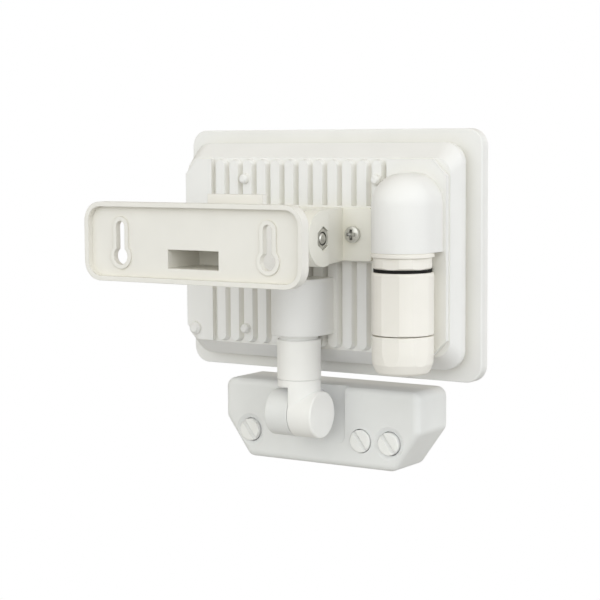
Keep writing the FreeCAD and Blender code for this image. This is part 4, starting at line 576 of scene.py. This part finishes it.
def reshaped(name, node, move, body):
    """The surface of a solid with some of its points moved. It stands for the solid."""
    mesh = nodes[node].data.copy()
    before = [face.normal.copy() for face in mesh.polygons]
    corners = [corner.vector.copy() for corner in mesh.corner_normals]
    for point in mesh.vertices:
        point.co = Vector(move(*(point.co / MM))) * MM
    mesh.update()
    # A face that turns further, or is a sliver, keeps its old shading
    widest = math.radians(60)
    sliver = 1e-10
    for face, old in zip(mesh.polygons, before):
        if face.area < sliver or old.length < 0.5 or old.angle(face.normal) > widest:
            continue
        turn = old.rotation_difference(face.normal)
        for index in face.loop_indices:
            corners[index] = turn @ corners[index]
    mesh.normals_split_custom_set(corners)
    mesh.name = name
    thing = bpy.data.objects.new(name, mesh)
    scene.collection.objects.link(thing)
    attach(thing, body)
    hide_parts(node)


# Cooling ribs of the casting, in millimetres: their row, round ends, flat tops and half width, and the
# room beside the outermost ribs
RIB_PITCH = 8.4
RIB_CENTRES = [54.2 - RIB_PITCH * k for k in range(12)]
RIB_ENDS = (-46.97, 39.97)
RIB_TOP, RIB_HALF = 100.0, 2.6
PAD_GAP = 2.9
# Depth of the valleys and slope of the ribs' flanks, in the solid and as seen
SOLID_DEEP, SOLID_SLOPE = 4.0, math.tan(math.radians(9))
SEEN_DEEP, SEEN_SLOPE = 2.8, math.tan(math.radians(22))
# Centres of the field's round corners, the reach of the field beyond them, and the bevel round it
CORNER_SIDE, CORNER_LOW, CORNER_HIGH, CORNER_REACH = 68.8, -42.8, 35.8, 7.7
BEVEL_SIDE, BEVEL_LOW, BEVEL_HIGH, BEVEL_DEEP = 79.0, -58.5, 51.5, 11.5
# Round reliefs behind the gland and the neck: X, depth and radius
RELIEFS = ((-59.6, 87.6, 15.5), (0.0, 89.6, 11.3))
# Distance within which a point counts as flush with a face, and as lying on a relief
FLUSH, RELIEF_NEAR = 0.02, 0.03


def wider_rib(x, z, deep, seen):
    """X of a point beside a rib once the rib's flanks lean out further. No point passes another."""
    centre = min(RIB_CENTRES, key=lambda place: abs(place - x))
    outer = x > RIB_CENTRES[0] or x < RIB_CENTRES[-1]
    limit = RIB_HALF + PAD_GAP if outer else RIB_PITCH / 2
    away = abs(x - centre)
    if away >= limit:
        return x
    foot = RIB_HALF + deep * SOLID_SLOPE
    growth = (RIB_HALF + seen * SEEN_SLOPE) / foot
    past_end = max(RIB_ENDS[0] - z, z - RIB_ENDS[1], 0.0)
    flank = math.sqrt(max(foot ** 2 - past_end ** 2, 0.0))
    if away <= flank:
        away *= growth
    else:
        away = limit - (limit - away) * (limit - flank * growth) / (limit - flank)
    return centre + math.copysign(away, x - centre)


def rib_valley(x, y, z):
    """Makes the valleys between the ribs shallower, with wider flanks, and the bevel round them taller."""
    deep = -y - RIB_TOP
    if deep < FLUSH or abs(x) > BEVEL_SIDE or not BEVEL_LOW < z < BEVEL_HIGH:
        return x, y, z
    past_side = max(abs(x) - CORNER_SIDE, 0.0)
    past_end = max(CORNER_LOW - z, z - CORNER_HIGH, 0.0)
    ring = math.hypot(past_side, past_end) > CORNER_REACH
    if deep > SOLID_DEEP + FLUSH:
        if not ring or deep > BEVEL_DEEP:
            return x, y, z
        share = (BEVEL_DEEP - deep) / (BEVEL_DEEP - SOLID_DEEP)
        return x, -RIB_TOP - BEVEL_DEEP + share * (BEVEL_DEEP - SEEN_DEEP), z
    for side, depth, radius in RELIEFS:
        if z < 0 and abs(math.hypot(x - side, -y - depth) - radius) < RELIEF_NEAR:
            return x, -RIB_TOP - min(deep, SEEN_DEEP), z
    seen = deep * SEEN_DEEP / SOLID_DEEP
    return wider_rib(x, z, deep, seen), -RIB_TOP - seen, z


# Recess behind the sensor's knuckle: half width, lower and upper end, the sensor's rear face, full depth
RECESS_HALF, RECESS_LOW, RECESS_HIGH = 15.5, -98.3, -70.0
SENSOR_REAR, RECESS_DEEP = 107.0, 5.0
# Distance within which a point counts as lying on an edge or face
NEAR = 0.05


def sloped_recess(x, y, z):
    """Lets the recess behind the knuckle run out to the sensor's rear face."""
    on_floor = abs(y + SENSOR_REAR + RECESS_DEEP) < NEAR
    if on_floor and abs(x) < RECESS_HALF + NEAR and z > RECESS_LOW - NEAR:
        share = min(max((z - RECESS_LOW) / (RECESS_HIGH - RECESS_LOW), 0.0), 1.0)
        y = -SENSOR_REAR - RECESS_DEEP * share
    return x, y, z


# Keyholes' collars: distance from the middle, half width, lower and upper end, depth of their rims
COLLAR_SIDE, COLLAR_HALF, COLLAR_LOW, COLLAR_HIGH, COLLAR_DEEP = 40.7, 6.1, -6.1, 18.2, 2.3


def low_collars(x, y, z):
    """Sets the keyholes' collars low behind the plate's rim."""
    if y > -NEAR and abs(abs(x) - COLLAR_SIDE) < COLLAR_HALF and COLLAR_LOW < z < COLLAR_HIGH:
        y = -COLLAR_DEEP
    return x, y, z


reshaped("ribbed_housing", "rear_housing", rib_valley, "lamp")
reshaped("sensor_shell", "sensor_rear", sloped_recess, "sensor")
reshaped("bracket_moulding", "wall_bracket", low_collars, "mount")
make_hinge_nut()
make_hinge_bolt()
make_screws()
make_leds()


# Studio: pale floor, soft light and the photo's camera

# Floor, in metres: how far it lies below the lamp, and its radius
FLOOR_DROP, FLOOR_RADIUS = 0.10, 6.0


def make_floor():
    """A pale round floor, which the camera itself sees as white."""
    low = solid_box[0].z - FLOOR_DROP
    bpy.ops.mesh.primitive_circle_add(vertices=96, radius=FLOOR_RADIUS, fill_type="NGON",
                                      location=(0, 0, low))
    floor = bpy.context.object
    floor.name = "floor"
    s = Shader("floor_white")
    matt = s.add("ShaderNodeBsdfDiffuse")
    tone = s.noise(120.0, detail=2.0)
    s.link(s.mix(tone, (0.60, 0.60, 0.60), (0.64, 0.64, 0.64)), matt.inputs["Color"])
    glow = s.add("ShaderNodeEmission")
    glow.inputs["Color"].default_value = (1.0, 1.0, 1.0, 1.0)
    glow.inputs["Strength"].default_value = 1.0
    rays = s.add("ShaderNodeLightPath")
    seen = s.blend(rays.outputs["Is Camera Ray"], matt.outputs["BSDF"], glow.outputs["Emission"])
    floor.data.materials.append(s.finish(seen))


# Soft light from each side of the studio: axis of the direction, its sign, strength in red, green, blue
STUDIO = (
    ("X", 1.0, (0.28, 0.26, 0.20)),
    ("X", -1.0, (1.93, 1.98, 1.96)),
    ("Y", 1.0, (2.04, 2.08, 1.98)),
    ("Y", -1.0, (0.66, 0.64, 0.58)),
    ("Z", 1.0, (0.46, 0.40, 0.30)),
)


def make_world():
    """White to the camera, and a soft light whose strength differs from side to side."""
    world = bpy.data.worlds.new("studio")
    world.use_nodes = True
    scene.world = world
    t = NodeTree(world.node_tree)
    place = t.add("ShaderNodeTexCoord")
    parts = t.add("ShaderNodeSeparateXYZ")
    t.link(place.outputs["Generated"], parts.inputs["Vector"])
    total = None
    for axis, sign, strength in STUDIO:
        # The squared cosine of a direction makes a wide, soft lobe round each side's axis
        lobe = t.maths("POWER", t.maths("MAXIMUM", t.maths("MULTIPLY", parts.outputs[axis], sign), 0.0), 2.0)
        glow = t.add("ShaderNodeVectorMath", operation="MULTIPLY_ADD")
        t.link(lobe, glow.inputs[0])
        glow.inputs[1].default_value = strength
        if total is not None:
            t.link(total, glow.inputs[2])
        total = glow.outputs["Vector"]
    soft = t.add("ShaderNodeBackground")
    t.link(total, soft.inputs["Color"])
    seen = t.add("ShaderNodeBackground")
    seen.inputs["Color"].default_value = (1.0, 1.0, 1.0, 1.0)
    rays = t.add("ShaderNodeLightPath")
    light = t.blend(rays.outputs["Is Camera Ray"], soft.outputs["Background"], seen.outputs["Background"])
    t.link(light, t.add("ShaderNodeOutputWorld").inputs["Surface"])


# The photo's camera, as fitted to points of the photo: turn, pitch and roll in degrees, place in metres,
# focal length and sensor width in millimetres, nearest and farthest distance shown in metres
CAMERA_ANGLES = (212.99, 5.44, -0.34)
CAMERA_PLACE = (-0.44713, 0.59806, 0.05246)
CAMERA_LENS, CAMERA_SENSOR = 100.68, 36.0
CAMERA_NEAR, CAMERA_FAR = 0.02, 20.0


def make_camera():
    """Sets up the photo's camera from its angles and place."""
    turn, pitch, roll = (math.radians(angle) for angle in CAMERA_ANGLES)
    back = Vector((math.sin(turn) * math.cos(pitch), -math.cos(turn) * math.cos(pitch), math.sin(pitch)))
    right = Vector((0, 0, 1)).cross(back).normalized()
    up = back.cross(right)
    tilted_right = right * math.cos(roll) + up * math.sin(roll)
    tilted_up = up * math.cos(roll) - right * math.sin(roll)
    data = bpy.data.cameras.new("camera")
    data.sensor_width = CAMERA_SENSOR
    data.lens = CAMERA_LENS
    data.clip_start = CAMERA_NEAR
    data.clip_end = CAMERA_FAR
    camera = bpy.data.objects.new("camera", data)
    axes = Matrix((tilted_right, tilted_up, back)).transposed()
    camera.matrix_world = Matrix.Translation(CAMERA_PLACE) @ axes.to_4x4()
    scene.collection.objects.link(camera)
    scene.camera = camera


make_floor()
make_world()
make_camera()
scene.view_settings.view_transform = "Standard"
